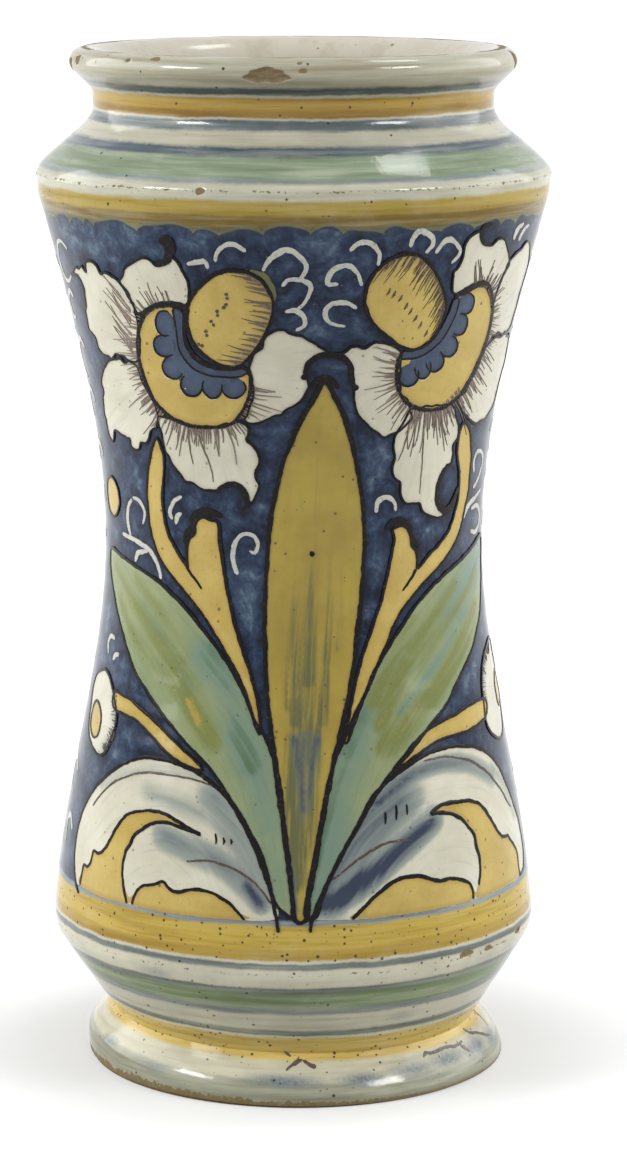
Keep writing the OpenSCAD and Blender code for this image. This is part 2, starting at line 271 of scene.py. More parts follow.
# %% [markdown]
# ## Clay of lip and foot, and lining
# The clay of the lip shows in the chips, so it is turned again with the same dents, a little deeper. The
# clay of the foot is turned again as well, so that it sinks to one side with its glaze. The lining is the
# glaze inside. Its wall has stronger finger ridges than the outside, because nobody smoothed it.

# %% Foot clay and lip clay, then the lining with its finger ridges
CLAY_DEEP = GLAZE + 0.02
foot_loop = [(53.4, 0)] + under(stretch(0.2, 14.5), CLAY_DEEP, 1)[::-1]
foot_loop += roll(39.05, 17.5, 6.62, 6.62, -30, -90, 7)
foot_loop += [(39.05, LEDGE_Z), (36.55, LEDGE_Z), (36.55, 0)]
foot_clay = turned("foot_clay", foot_loop, 240)
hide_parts("foot_ring")
inner_lip = roll(LIP_R, 251.5, 8.1, 8.5, 90, 180, 12)
lip_loop = under(stretch(248.6, TOP_Z), CLAY_DEEP, 1)[::-1]
lip_loop += [(r + GLAZE, z - 0.4) for r, z in inner_lip if z < 259]
lip_loop += [(45.0, 250.5), (47.6, 250.5), (47.6, 248.6)]
lip_clay = turned("lip_clay", lip_loop, 360, extra_dent=0.2)
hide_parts("lip")


def ridged(points, strength):
    return [(r + strength * math.sin(0.74 * z + 0.9 * math.sin(0.11 * z)), z) for r, z in points]


floor_path = [(0, FLOOR_Z)] + [(r, FLOOR_Z + 0.12 * math.sin(0.5 * r)) for r in np.linspace(2, 37.6, 26)]
corner_path = roll(39.05, 17.5, 6, 6, -90, -31, 7)
well_path = curve(14.41, 44.19, 0.6, 39.5, 55.9, -0.08, 24)[1:]
well_path += curve(39.5, 55.9, -0.08, WAIST_Z, 42, 0, 90) + curve(WAIST_Z, 42, 0, 222, 57.71, 0.27, 80)
well_path = ridged(well_path, 0.16)
throat_path = curve(222, 57.71, 0.27, 241.5, 44.4, 0, 24) + [(44.4, 241.5 + k) for k in range(0, 10, 2)]
lining_path = floor_path + corner_path + well_path + throat_path + inner_lip[::-1]
lining_back = under(lining_path, -GLAZE, 6)
lining = turned("lining_coat", lining_path + lining_back[:-1] + [(0, lining_back[-1][1])], 300, poles=True)
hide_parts("lining_glaze")

# %% [markdown]
# ## Painting tools
# The frieze is brushwork. A painted fill is a closed outline on the unrolled wall, in mm: s runs round the
# wall from the middle of the front, z is the height. A smooth curve runs through a few chosen points, the
# inside is filled with triangles small enough to follow the wall, and the layer gets a thin edge. A brush
# line is a ribbon that swells and tapers. Colour could be painted on a texture instead, but layers stay
# sharp at any distance, and each keeps its own brush direction.

# %% Curves through chosen points
def smooth(points, closed, step):
    p = np.array(points, float)
    n = len(p)
    out = []
    for i in range(n if closed else n - 1):
        if closed:
            p0, p1, p2, p3 = p[i - 1], p[i], p[(i + 1) % n], p[(i + 2) % n]
        else:
            p0, p1, p2, p3 = p[max(i - 1, 0)], p[i], p[i + 1], p[min(i + 2, n - 1)]
        parts = max(1, int(np.hypot(*(p2 - p1)) / step))
        t = (np.arange(parts) / parts)[:, None]
        out.append(0.5 * (2 * p1 + (p2 - p0) * t + (2 * p0 - 5 * p1 + 4 * p2 - p3) * t**2
                          + (3 * p1 - p0 - 3 * p2 + p3) * t**3))
    if not closed:
        out.append(p[-1:])
    return np.concatenate(out)


def inside(polygon, points):
    x, y = points[:, 0:1], points[:, 1:2]
    x0, y0 = polygon[:, 0], polygon[:, 1]
    x1, y1 = np.roll(x0, -1), np.roll(y0, -1)
    cut = (y0 > y) != (y1 > y)
    at = x0 + (y - y0) * (x1 - x0) / np.where(y1 == y0, 1e-9, y1 - y0)
    return (np.sum(cut & (x < at), axis=1) % 2) == 1


def headings(path, closed=False):
    ahead = np.roll(path, -1, 0) - np.roll(path, 1, 0) if closed else np.gradient(path, axis=0)
    return ahead / np.maximum(np.hypot(*ahead.T), 1e-6)[:, None]


def sideways(path, closed=False):
    ahead = headings(path, closed)
    return np.stack([-ahead[:, 1], ahead[:, 0]], -1)


def spans(points, path):
    return np.hypot(points[:, None, 0] - path[None, :, 0], points[:, None, 1] - path[None, :, 1])


# %% A layer of paint: fills and brush lines gathered into one mesh
UNDERSIDE, CREST = -0.08, 0.04
MAP_ROUND, MAP_LOW, MAP_TALL = 0.29, 40, 190
HIDDEN_SPOT = (0.004, 0.004)
FAN_WIDE = 18
painted_edges = []


class Layer:
    def __init__(self, name, seed):
        self.name, self.hand = name, random.Random(seed)
        self.points, self.faces, self.maps, self.hidden = [], [], [], []
        self.values = {"edge": [], "along": [], "across": [], "wash": [], "stain": []}

    def add(self, flat, lift, place, faces, hidden, values):
        turn, flip = place
        xyz, angle = on_wall(flat[:, 0], flat[:, 1], lift, turn, flip)
        start = len(self.points)
        self.points += xyz.tolist()
        for b, z in zip(angle, flat[:, 1]):
            self.maps.append((0.5 + MAP_ROUND * (b - turn), (z - MAP_LOW) / MAP_TALL))
        self.hidden += hidden
        for label in self.values:
            self.values[label] += list(np.broadcast_to(values.get(label, 0.0), len(flat)))
        self.faces += [tuple(start + v for v in f[::flip]) for f in faces]

    def fill(self, outline, lift, place=FRONT, spine=None, fan=None, washes=(), mesh=2.0, shake=0.06):
        rim = smooth(outline, True, 0.8)
        rim = rim + np.array([[self.hand.gauss(0, shake), self.hand.gauss(0, shake)] for _ in rim])
        painted_edges.append((rim, place))
        low, high = rim.min(0), rim.max(0)
        xs, ys = np.arange(low[0], high[0], mesh), np.arange(low[1], high[1], mesh * 0.87)
        grid = [(x + (mesh / 2 if k % 2 else 0), y) for k, y in enumerate(ys) for x in xs]
        grid = np.array(grid).reshape(-1, 2)
        if len(grid):
            grid = grid[inside(rim, grid) & (spans(grid, rim).min(axis=1) > 0.45 * mesh)]
        n = len(rim)
        ring = [(k, (k + 1) % n) for k in range(n)]
        spots = [tuple(p) for p in np.concatenate([rim, grid]).tolist()]
        out = delaunay_2d_cdt(spots, ring, [list(range(n))], 1, 1e-4)
        flat = np.array([tuple(v) for v in out[0]])
        m = len(flat)
        tops = [tuple(f) for f in out[2]]
        used = dict.fromkeys((f[k], f[(k + 1) % 3]) for f in tops for k in range(3))
        border = [e for e in used if (e[1], e[0]) not in used]
        faces = tops + [tuple(m + v for v in f[::-1]) for f in tops]
        faces += [(b, a, m + a, m + b) for a, b in border]
        hidden = [False] * len(tops) + [True] * len(tops) + [False] * len(border)
        values = self.tones(flat, rim, spine, fan, washes)
        both = {label: np.tile(tone, 2) for label, tone in values.items()}
        self.add(np.tile(flat, (2, 1)), np.repeat([lift, UNDERSIDE], m), place, faces, hidden, both)

    def tones(self, flat, rim, spine, fan, washes):
        values = {"edge": spans(flat, rim).min(axis=1)}
        if spine is not None:
            path = smooth(spine, False, 1.0)
            near = np.argmin(spans(flat, path), axis=1)
            d, h = flat - path[near], headings(path)[near]
            values["along"] = ways_of(path)[near] + d[:, 0] * h[:, 0] + d[:, 1] * h[:, 1]
            values["across"] = d[:, 0] * h[:, 1] - d[:, 1] * h[:, 0]
        if fan is not None:
            d = flat - np.array(fan)
            values["along"] = np.hypot(d[:, 0], d[:, 1])
            values["across"] = FAN_WIDE * np.arctan2(d[:, 1], d[:, 0])
        for label, route, reach, depth in washes:
            path = smooth(route, False, 1.0)
            far = spans(flat, path)
            load = np.interp(np.argmin(far, axis=1), [0, len(path) - 1], np.broadcast_to(depth, 2))
            tone = load * np.clip(1 - far.min(axis=1) / reach, 0, 1) ** 0.7
            values[label] = np.maximum(values.get(label, 0.0), tone)
        return values

    def line(self, route, widths, lift, place=FRONT, closed=False, rough=0.3, step=0.55, stain=0.0,
             tremble=0.16):
        path = smooth(route, closed, step)
        ways = ways_of(path)
        if ways[-1] < 0.05:
            return
        widths = np.atleast_1d(np.array(widths, float))
        half = 0.5 * np.interp(ways / ways[-1], np.linspace(0, 1, len(widths)), widths)
        slow, quick, sway = 0.0, 0.0, np.zeros(len(half))
        for k in range(len(half)):
            slow = 0.93 * slow + 0.07 * self.hand.uniform(-2.2, 2.2)
            quick = 0.5 * quick + 0.5 * self.hand.uniform(-1, 1)
            half[k] *= 1 + rough * (1.4 * slow + 0.8 * quick)
            sway[k] = 0.8 * sway[k - 1] + 0.5 * self.hand.uniform(-1, 1)
        if not closed:
            ends = np.minimum(ways, ways[-1] - ways)
            half *= np.sqrt(np.clip((ends + 0.06) / np.maximum(half, 0.1), 0, 1))
        side = sideways(path, closed)
        path = path + tremble * side * sway[:, None]
        left, right = path + side * half[:, None], path - side * half[:, None]
        n = len(path)
        flat = np.concatenate([left, path, right, right, left])
        lifts = np.repeat([lift, lift + CREST, lift, UNDERSIDE, UNDERSIDE], n)
        faces, hidden = [], []
        for k in range(n if closed else n - 1):
            after = (k + 1) % n
            for strip in range(5):
                a, b = strip * n, ((strip + 1) % 5) * n
                faces.append((a + k, b + k, b + after, a + after))
                hidden.append(strip == 3)
        for k in () if closed else (0, n - 1):
            cap = tuple(strip * n + k for strip in range(5))
            faces.append(cap[::-1] if k == 0 else cap)
            hidden.append(False)
        values = {"along": np.tile(ways, 5), "edge": np.tile(half, 5), "stain": stain}
        painted_edges.append((path, place))
        self.add(flat, lifts, place, faces, hidden, values)

    def dab(self, s, z, size, lift, place=FRONT):
        turns = np.linspace(0, 2 * math.pi, 9)[:-1]
        ring = [(s + size * math.cos(t) * (1 + self.hand.uniform(-0.2, 0.2)), z
                 + size * math.sin(t) * (1 + self.hand.uniform(-0.2, 0.2))) for t in turns]
        self.fill(ring, lift, place, mesh=3.0, shake=0.0)

    def fringe(self, route, count, shortest, longest, lift, place=FRONT, side=1, lean=0.0, width=0.34,
               stain=0.0, aim=None, on=()):
        path = smooth(route, False, 0.5)
        outward = side * sideways(path)
        for k in range(count):
            at = min(len(path) - 1, int((k + self.hand.uniform(0.1, 0.9)) / count * len(path)))
            out = outward[at] if aim is None else np.array(aim)
            turn = lean + self.hand.uniform(-0.08, 0.08)
            out = np.array([out[0] * math.cos(turn) - out[1] * math.sin(turn), out[0] * math.sin(turn)
                            + out[1] * math.cos(turn)])
            size = shortest + (longest - shortest) * self.hand.random() ** 1.6
            bend = self.hand.uniform(-0.08, 0.08)
            p = path[at]
            while on and size > 1.2 and not any(inside(np.array(shape), np.array([p + size * out]))[0]
                                                for shape in on):
                size *= 0.75
            bow = np.array([-out[1], out[0]]) * bend * size
            self.line([p, p + 0.5 * size * out + bow, p + size * out], [width, width, 0.5 * width, 0.12],
                      lift, place, rough=0.1, step=0.9, stain=stain, tremble=0.03)

    def finish(self, material, slot):
        mesh = bpy.data.meshes.new(self.name)
        mesh.from_pydata(self.points, [], self.faces)
        loops = np.zeros(len(mesh.loops), np.int32)
        mesh.loops.foreach_get("vertex_index", loops)
        maps = np.array(self.maps)[loops]
        maps[np.repeat(self.hidden, [len(f) for f in self.faces])] = HIDDEN_SPOT
        mesh.uv_layers.new(name=BAKE_MAP).data.foreach_set("uv", maps.reshape(-1))
        keep_values(mesh, self.values)
        mesh.materials.append(material)
        set_up(self.name, mesh, 40)


# %% [markdown]
# ## The painter's drawing
# These are the chosen points of each motif, in mm on the unrolled wall. Petals of the two great flowers
# come first, then their cups, buds and beads, then leaves and stems, then the white scrolled leaves at the
# foot of the frieze.

# %% Petals of the left and right flower
left_petals = [[(-41.5, 197), (-43.5, 201.5), (-46.2, 204.8), (-49.5, 207), (-52.3, 207.6), (-53.8, 207.2),
                (-55.5, 208.8), (-58, 209.6), (-60.2, 209), (-60.6, 206.6), (-63, 207.3), (-66, 207.5),
                (-68.6, 205.7), (-66.5, 205.2), (-64.2, 203.8), (-63, 201.5), (-63.4, 198), (-64, 196),
                (-63.2, 192), (-61, 190.6), (-59, 187.8), (-56.5, 185.8), (-54, 185.3), (-50.5, 186.3),
                (-46, 186), (-42.4, 185), (-41, 190)],
               [(-42.4, 184.6), (-47, 185.2), (-52, 185.3), (-55, 184), (-57, 181.8), (-59, 180.5),
                (-59.5, 178), (-58.7, 176), (-59.8, 174), (-59.8, 170), (-58.8, 166.5), (-58, 164.2),
                (-56, 163.8), (-54.9, 164.6), (-54.3, 166.4), (-51, 165.7), (-48, 165.3), (-46.8, 165.2),
                (-46.5, 163.5), (-45, 162.6), (-43.3, 163), (-42.5, 164.8), (-40.5, 164.7), (-39.5, 166),
                (-38, 167.8), (-36.3, 169), (-35.7, 172), (-36.8, 174.5), (-39, 178), (-41, 181)],
               [(-35.6, 172), (-35, 168), (-34, 165), (-32.8, 162), (-30.5, 159.5), (-27.5, 157),
                (-24, 155.3), (-21, 154.2), (-19, 154.7), (-17.5, 155.8), (-15, 156.4), (-13.3, 156),
                (-12, 154.5), (-10.7, 152), (-9.5, 154), (-8.8, 156.5), (-9, 159.5), (-8.5, 162),
                (-8.7, 164.5), (-10, 166.5), (-10.8, 168), (-10.6, 169.5), (-11.5, 171.5), (-14, 172.6),
                (-17, 171.3), (-21, 170.6), (-26, 170.7), (-31, 171.9)],
               [(-11, 186), (-9, 189.5), (-7, 193), (-5.2, 195), (-2.5, 195.3), (0.5, 194.2), (3.5, 193.2),
                (6.5, 191.2), (8.3, 189.6), (5.5, 188.8), (3.8, 186.8), (3, 184), (3.6, 181.5),
                (2.2, 178.8), (0.5, 177), (-1.5, 175.4), (-4.5, 174), (-7.5, 172.4), (-10, 171.9),
                (-12, 172.8), (-10.8, 176), (-9.8, 180), (-10.5, 183.5)],
               [(-41.2, 197.5), (-43.3, 201.3), (-45.6, 204), (-46, 207), (-44.8, 209.2), (-42.8, 210.2),
                (-41, 211.8), (-38.5, 212.2), (-36.5, 211.4), (-34.8, 210.4), (-32.5, 211), (-30.5, 212.6),
                (-28.6, 211.6), (-27.3, 209), (-25.9, 206.3), (-25.7, 203.8), (-26.6, 201.8), (-29, 200.8),
                (-33, 201), (-36.8, 200), (-39.5, 198.4)]]
right_petals = [[(41.7, 203), (42, 206.5), (43, 209.5), (44.5, 212), (44.8, 214.5), (47, 217),
                 (49.5, 218.3), (50.8, 217.8), (51, 215.5), (53, 214), (55, 214.2), (57.5, 215.2),
                 (60, 215), (62.3, 213), (64, 210.5), (64, 208.3), (62, 206.5), (60.5, 204.5), (59.5, 202),
                 (58, 199.5), (56.5, 202.6), (54, 204.2), (51, 204.4), (47, 203), (44.5, 202)],
                [(58.5, 199.5), (60.5, 204), (63.5, 208.3), (67, 210.5), (71, 211.5), (75, 213),
                 (78.5, 211.5), (81, 208), (80.5, 204), (78, 199.5), (76, 195), (74, 191.5), (70, 190.2),
                 (65, 190), (60, 190), (56.5, 187.8), (57.6, 193)],
                [(57, 187.6), (62, 189.6), (68, 189.8), (71, 189), (74.5, 188.5), (76.5, 186), (76.5, 182),
                 (74.5, 178.5), (71.5, 175.5), (69.5, 172), (66, 169.5), (62, 168.5), (58, 168.2),
                 (54, 168.6), (51.5, 169.8), (49, 171.5), (46, 174.8), (49.5, 178.4), (53, 182.6)],
                [(30, 174.2), (27.5, 170.5), (26, 168), (25.3, 165), (26, 162.5), (25.3, 160),
                 (25.7, 157.5), (27.2, 156), (27.3, 153.5), (29, 151), (31.5, 150.2), (33.5, 150.3),
                 (34.5, 148.5), (36, 146.7), (38.5, 146), (41, 146), (43.5, 147), (41.3, 148.2),
                 (39.8, 150.5), (40, 154), (41.5, 157.5), (43, 158.6), (44.5, 159), (44.8, 161.5),
                 (45, 163.5), (46.8, 165.5), (47, 168.5), (45.4, 171.4), (43, 174.4), (38, 174.4),
                 (33, 174.8)],
                [(27, 188.8), (25.5, 190.8), (22.5, 191.8), (19.5, 191.8), (17.5, 190.6), (15.5, 191.2),
                 (12.5, 190.3), (9.6, 189.2), (12.5, 188.2), (14, 186.5), (14.2, 183.5), (15, 181),
                 (14.6, 178.5), (15.8, 174.5), (17.8, 172.8), (18.5, 170.8), (21, 169), (24.5, 168.2),
                 (27.5, 169.5), (30, 172.6), (29.6, 175.6), (27.4, 178.6), (26.6, 182), (26.6, 186)]]
PETAL_RAG = 0.26


def ragged(shape, seed):
    hand = random.Random(seed)
    path = smooth(shape, True, 1.5)
    return path + sideways(path, True) * np.array([[hand.gauss(0, PETAL_RAG)] for _ in path])


left_petals = [ragged(shape, 31 + k) for k, shape in enumerate(left_petals)]
right_petals = [ragged(shape, 41 + k) for k, shape in enumerate(right_petals)]
print("petals:", len(left_petals) + len(right_petals))

# %% Cups, beads, buds, leaves and stems
left_cup = [(-30.5, 200.2), (-34.5, 199.6), (-37.5, 198), (-39.8, 195.2), (-41, 191), (-41, 187),
            (-40.3, 183), (-38.6, 179), (-36.3, 175.8), (-33, 173.2), (-29, 171.6), (-24, 170.9),
            (-20, 171), (-16.5, 171.7), (-14.2, 173.2), (-12.4, 175.6), (-11.3, 178.3), (-10.9, 181.5),
            (-11.3, 184.6), (-14, 185.2), (-18, 185.5), (-22, 186.4), (-25.3, 188.6), (-27.2, 191.5),
            (-27.6, 195), (-28.2, 198.5)]
left_strip = [(-30.2, 199.6), (-29.6, 195.5), (-29.2, 191.5), (-27.8, 188), (-25.2, 185.4), (-22, 183.9),
              (-18.5, 183.4), (-15, 183.5), (-12.2, 184), (-11.2, 185.2), (-14, 185.9), (-18, 186),
              (-21.8, 186.9), (-25, 189), (-26.9, 192), (-27.2, 195.5), (-28, 199.2)]
left_beads = [(-32.7, 196, 2.7, 3.1), (-33, 190.3, 3.2, 2.6), (-30.8, 185, 2.9, 2.7),
              (-25.6, 181, 2.9, 2.7), (-20, 180.8, 2.5, 2.7), (-14.6, 180.9, 2.9, 2.5)]
right_cup = [(49.5, 203.4), (52.5, 203.6), (55.2, 201.8), (56.9, 198.5), (57.4, 195), (56.6, 191),
             (54.6, 187), (51.5, 182.5), (48, 178.5), (44.5, 176), (40.5, 174.6), (36.5, 174.3),
             (32.5, 175.1), (29.5, 176.7), (27.3, 179), (26.2, 182), (26.3, 185.5), (27.3, 188.4),
             (30, 188.6), (33.8, 189.4), (37.2, 191.6), (40, 194.8), (42, 198.5), (43.5, 201.6),
             (46.5, 202.6)]
right_strip = [(27, 187.6), (30.5, 187.4), (34.5, 188.6), (38.3, 190.8), (41.3, 194), (43.3, 198),
               (44, 201.3), (42.2, 201), (41, 198.5), (39.3, 195.5), (36.8, 192.2), (33.5, 190),
               (30, 189.2), (27.6, 189.3)]
right_beads = [(29.3, 183.2, 2.7, 2.7), (33.4, 184.6, 2.3, 2.5), (37.1, 186.1, 2.7, 2.4),
               (41.4, 189.6, 3.0, 2.7), (44.7, 194.8, 2.8, 2.6), (46.6, 200, 2.9, 2.5)]
left_bud = [(-14.5, 210), (-10.6, 209.4), (-7.4, 207.4), (-5.5, 204.2), (-4.9, 200.4), (-6, 196),
            (-8.2, 191.8), (-11, 188), (-13.5, 186.3), (-16.5, 186.3), (-20, 187.3), (-23.5, 190),
            (-25.8, 193.5), (-26.5, 197.5), (-25.7, 201.8), (-23, 205.8), (-19.2, 208.9)]
right_bud = [(28, 213.6), (32, 212.5), (36, 208.5), (38.8, 203.5), (39.8, 200), (39, 197), (36.5, 192.5),
             (33, 190.3), (29.8, 189.6), (27, 190.5), (23.5, 193), (20, 196), (18, 199.5), (17.3, 203),
             (18, 206.5), (20.5, 210), (24, 212.7)]
lance_leaf = [(7.5, 182.6), (5, 178.5), (2, 173.5), (-0.5, 168), (-2.5, 162), (-4.2, 155), (-5.5, 148),
              (-6.3, 140), (-6.8, 130), (-7, 120), (-6.8, 110), (-6, 100), (-5, 92), (-4, 85), (-3, 77),
              (-2.2, 70), (-1.2, 62), (-0.4, 56), (0.4, 50.6), (3, 50.6), (3.8, 56), (5.3, 64), (7, 74),
              (8.8, 84), (10.8, 92.5), (13, 102), (15, 112), (16.2, 122), (17.2, 132), (17.7, 142),
              (17.3, 150), (16.3, 157.5), (14.8, 165), (12.5, 173), (10, 178.5)]
left_leaf = [(-0.4, 51.4), (-0.6, 60), (-1.4, 68), (-2.4, 76), (-3.4, 83), (-5, 90), (-7.4, 95.5),
             (-9.8, 99), (-12, 104.5), (-15.2, 110.3), (-19, 115.3), (-23, 119.8), (-27, 123.6),
             (-31, 126.8), (-36, 129.8), (-41, 131.5), (-47, 132.8), (-53, 133.8), (-58, 134.8),
             (-61.8, 134.6), (-62.4, 131), (-60, 126), (-56.8, 121.5), (-53.5, 117), (-50, 112.5),
             (-46, 107.5), (-40, 102), (-34, 97), (-28, 92), (-22, 87), (-18.5, 83), (-15, 78.5), (-12, 74),
             (-9.5, 69.5), (-7.5, 65), (-6, 60), (-4.6, 55)]
right_leaf = [(2.9, 51.4), (3.4, 56), (4.7, 63), (6.3, 72), (8.2, 82), (10.8, 90.5), (15, 99), (18, 104.5),
              (20.5, 110), (24, 115), (27.5, 119.5), (31, 123.5), (35, 126.8), (39, 129.3), (45, 131.8),
              (52, 134.2), (58, 135.8), (64, 137.3), (67.5, 136.6), (67.5, 131), (65.6, 124), (63, 118.5),
              (59, 114), (54, 109.5), (49, 105.5), (45.5, 102.5), (44, 100.5), (40, 97.3), (36, 94.3),
              (31.5, 90.3), (27, 86.5), (22.5, 82.5), (19, 77.5), (15.5, 72), (12, 66.5), (9, 61), (7, 56),
              (5.4, 51.5)]
left_sprig = [(-8, 95.5), (-8.8, 103), (-10.3, 109), (-12.2, 115), (-14, 120.5), (-15.5, 126),
              (-16.6, 130.8), (-17.2, 134), (-17.8, 138), (-18.4, 142), (-18.9, 146.6), (-20.6, 147.2),
              (-22.8, 147.8), (-24.6, 147), (-25.4, 145.2), (-25.2, 143.6), (-26.9, 142), (-27.6, 139.5),
              (-27.6, 136.5), (-27.4, 134.6), (-28.5, 136), (-31, 139), (-33.5, 143), (-34.8, 147.5),
              (-35, 152), (-34.6, 157), (-34.3, 161.5), (-35.2, 164), (-36.6, 166.4), (-38, 164.5),
              (-39.3, 161), (-40.3, 157), (-40.6, 151), (-40.3, 146), (-39.2, 141.5), (-37.5, 138),
              (-35.5, 135.2), (-32.5, 132), (-29, 129), (-25.5, 126), (-22, 122), (-19, 117.8), (-16, 113),
              (-13, 107.5), (-10.7, 102), (-9, 96.5)]
right_sprig = [(12.3, 93), (14, 101), (15.5, 108), (17.5, 114.5), (20, 121), (22.3, 127), (24, 133),
               (25.2, 138.5), (25.8, 142.3), (25.2, 144.3), (26.5, 145), (28, 145.2), (29.6, 144.2),
               (30.8, 142), (31.2, 139.8), (32.5, 138.5), (33, 135.8), (32.8, 134), (33.9, 134.4),
               (37, 136.8), (41, 139.2), (44.3, 142), (46.8, 145.5), (48.3, 149.5), (48.8, 153.5),
               (48.3, 157), (47.2, 160.5), (47, 164), (47.8, 167.5), (49.3, 169), (51.3, 168), (53, 165.3),
               (54.2, 161), (54.5, 156), (54, 151), (52.3, 146.5), (50, 141.5), (47.5, 138.3), (44, 135.5),
               (40, 133), (36, 130.5), (32.5, 128), (29, 125), (26, 121), (23.8, 116.5), (21.5, 111.5),
               (19, 106.5), (16.8, 102), (14.8, 97), (13.2, 93)]
left_stem = [(-23.5, 86.5), (-27, 89), (-31, 91.8), (-35, 94.5), (-40, 97), (-45, 99), (-49, 99.9),
             (-54.5, 100.3), (-54.5, 96.4), (-48, 95.6), (-44.5, 95), (-41, 93.3), (-37, 91), (-33, 88.5),
             (-29, 86.8), (-24, 85.5)]
right_stem = [(25.5, 85.5), (30, 90), (34.5, 93.3), (39, 95), (45, 96), (51, 97.3), (57, 97.6), (61.5, 97),
              (62.5, 95), (61, 93), (57, 92), (51, 91.3), (45, 91.3), (40, 91), (35, 89.5), (30, 87.2)]
print("lance leaf height:", lance_leaf[0][1] - 50.6, "mm")

# %% Strokes laid wet into the leaves: kind, route, reach in mm, depth
LEFT_STROKES = [("stain", [(-57, 131), (-46, 122.5), (-35.5, 113.5), (-27.5, 103.5), (-22, 93.5)], 5.5,
                 (0.6, 1.0)),
                ("stain", [(-46, 128), (-37, 121.5), (-29, 112)], 4.0, 0.75),
                ("stain", [(-27, 102), (-24.5, 97)], 2.6, 1.6),
                ("stain", [(-54, 124), (-44, 113), (-34, 104)], 2.6, (0.9, 0.4)),
                ("wash", [(-43, 123.5), (-34, 114.5), (-27, 104)], 2.4, (0.5, 1.1)),
                ("wash", [(-21, 113), (-15, 103), (-11, 92), (-7, 78), (-3, 60)], 8.5, (0.9, 0.5)),
                ("wash", [(-14.6, 95), (-12, 91), (-10.4, 87)], 4.0, (0.9, 1.3))]
RIGHT_STROKES = [("stain", [(22, 97), (27, 107), (34, 116), (47, 127)], 3.2, (1.2, 0.8)),
                 ("stain", [(24, 91.5), (33, 99), (45, 108), (58, 120)], 4.4, (1.25, 0.9)),
                 ("stain", [(34, 111), (46, 121), (62, 129)], 2.6, (0.5, 0.9)),
                 ("stain", [(20.5, 103), (25, 112), (32, 120.5)], 3.4, (1.0, 0.6)),
                 ("wash", [(18, 102), (13, 88), (8, 70), (4, 56)], 8.5, (0.8, 0.9)),
                 ("wash", [(66, 133), (56, 129), (46, 122)], 8.5, (1.1, 0.7)),
                 ("wash", [(27, 99), (42, 112), (60, 126)], 2.0, (0.9, 0.6))]
LANCE_STROKES = [("stain", [(5.8, 160), (5.2, 146), (4.4, 130), (3.6, 108)], 2.6, (0.0, 1.0)),
                 ("stain", [(1.4, 154), (0.6, 132), (0.4, 115), (0.6, 98)], 2.4, (0.0, 1.0)),
                 ("stain", [(9.8, 156), (8.8, 132), (8.2, 115), (7, 98)], 2.2, (0.0, 0.95)),
                 ("stain", [(13, 150), (11.8, 134), (11.2, 116)], 1.8, (0.0, 0.6)),
                 ("stain", [(-3, 146), (-2.6, 122), (-1.6, 102)], 1.8, (0.0, 0.65)),
                 ("stain", [(3.6, 122), (3.4, 104), (3.2, 90)], 5.6, (0.1, 0.95)),
                 ("stain", [(0.6, 94), (0.4, 76), (0.4, 60)], 4.0, (0.8, 1.1)),
                 ("stain", [(5.6, 96), (4.2, 80), (3, 66)], 3.0, (0.8, 0.7)),
                 ("stain", [(6.4, 176), (6.2, 162), (5.8, 150)], 1.5, (0.34, 0.4)),
                 ("stain", [(10.4, 172), (10.6, 158)], 1.2, 0.32),
                 ("stain", [(1.6, 166), (2, 150)], 1.3, 0.34),
                 ("wash", [(-0.4, 94.8), (2.6, 95.6), (6, 94.6)], 1.4, 0.75),
                 ("wash", [(0.4, 94), (1.5, 86), (2.4, 77)], 2.0, (0.95, 0.8)),
                 ("wash", [(5.6, 94), (4.2, 86), (2.8, 77)], 2.0, (0.85, 0.8)),
                 ("wash", [(2.8, 94), (2.6, 74)], 2.8, (0.7, 0.4)),
                 ("wash", [(-1.4, 63), (-0.5, 53)], 2.1, 1.25)]
print("leaf strokes:", len(LEFT_STROKES) + len(RIGHT_STROKES) + len(LANCE_STROKES))

# %% White scrolled leaves and their yellow linings
left_scroll = [(-4.2, 51), (-5.5, 57), (-7.5, 62.8), (-10, 69), (-13, 74.8), (-16, 79.2), (-19.5, 82.3),
               (-24, 84.8), (-28, 86.1), (-33, 87), (-38, 86.9), (-43, 85.8), (-48, 84), (-53, 81.4),
               (-58, 78.1), (-62, 75), (-66, 71.2), (-69, 67.3), (-71, 63), (-71.6, 58), (-71, 53.4),
               (-69.4, 50.4), (-66.5, 50.3), (-55, 50.2), (-45, 50.2), (-35, 50.2), (-25, 50.2),
               (-15, 50.2)]
left_fold = [(-66.6, 50.4), (-66, 53.5), (-65, 55.8), (-63, 55.8), (-61.3, 57.5), (-60.3, 60.3),
             (-58, 60.2), (-55.5, 61.5), (-53, 64.5), (-50, 68.5), (-47, 71.5), (-43.5, 73), (-39, 74),
             (-34.5, 74.1), (-30, 72.6), (-26, 71), (-23.5, 70.2), (-28, 71.1), (-33, 71.9), (-37.5, 71),
             (-41, 69), (-43.5, 67.3), (-44.8, 65.2), (-46.6, 62.5), (-47.5, 58.5), (-47, 54),
             (-45.6, 50.3)]
left_base = [(-43.9, 50.3), (-42.8, 53.2), (-40.5, 55.4), (-37, 56.4), (-34, 57.5), (-32.5, 56.3),
             (-30, 55.5), (-26, 56.5), (-21, 56.5), (-16.5, 54.5), (-13.5, 51.9), (-12, 50.3)]
right_scroll = [(4.8, 51), (6.5, 55.4), (9, 60.6), (12.5, 67), (16, 73), (19.5, 78.8), (21.5, 81.2),
                (25, 83.9), (29, 85.9), (34, 87.7), (40, 88.7), (46, 88.5), (52, 87.4), (58, 85.2),
                (63, 82.4), (68, 78.6), (72, 74.2), (76, 69.2), (79.5, 64.8), (82, 60), (82.5, 55),
                (80.5, 51.6), (76, 50.6), (65, 50.4), (55, 50.3), (45, 50.3), (35, 50.3), (25, 50.3),
                (15, 50.3)]
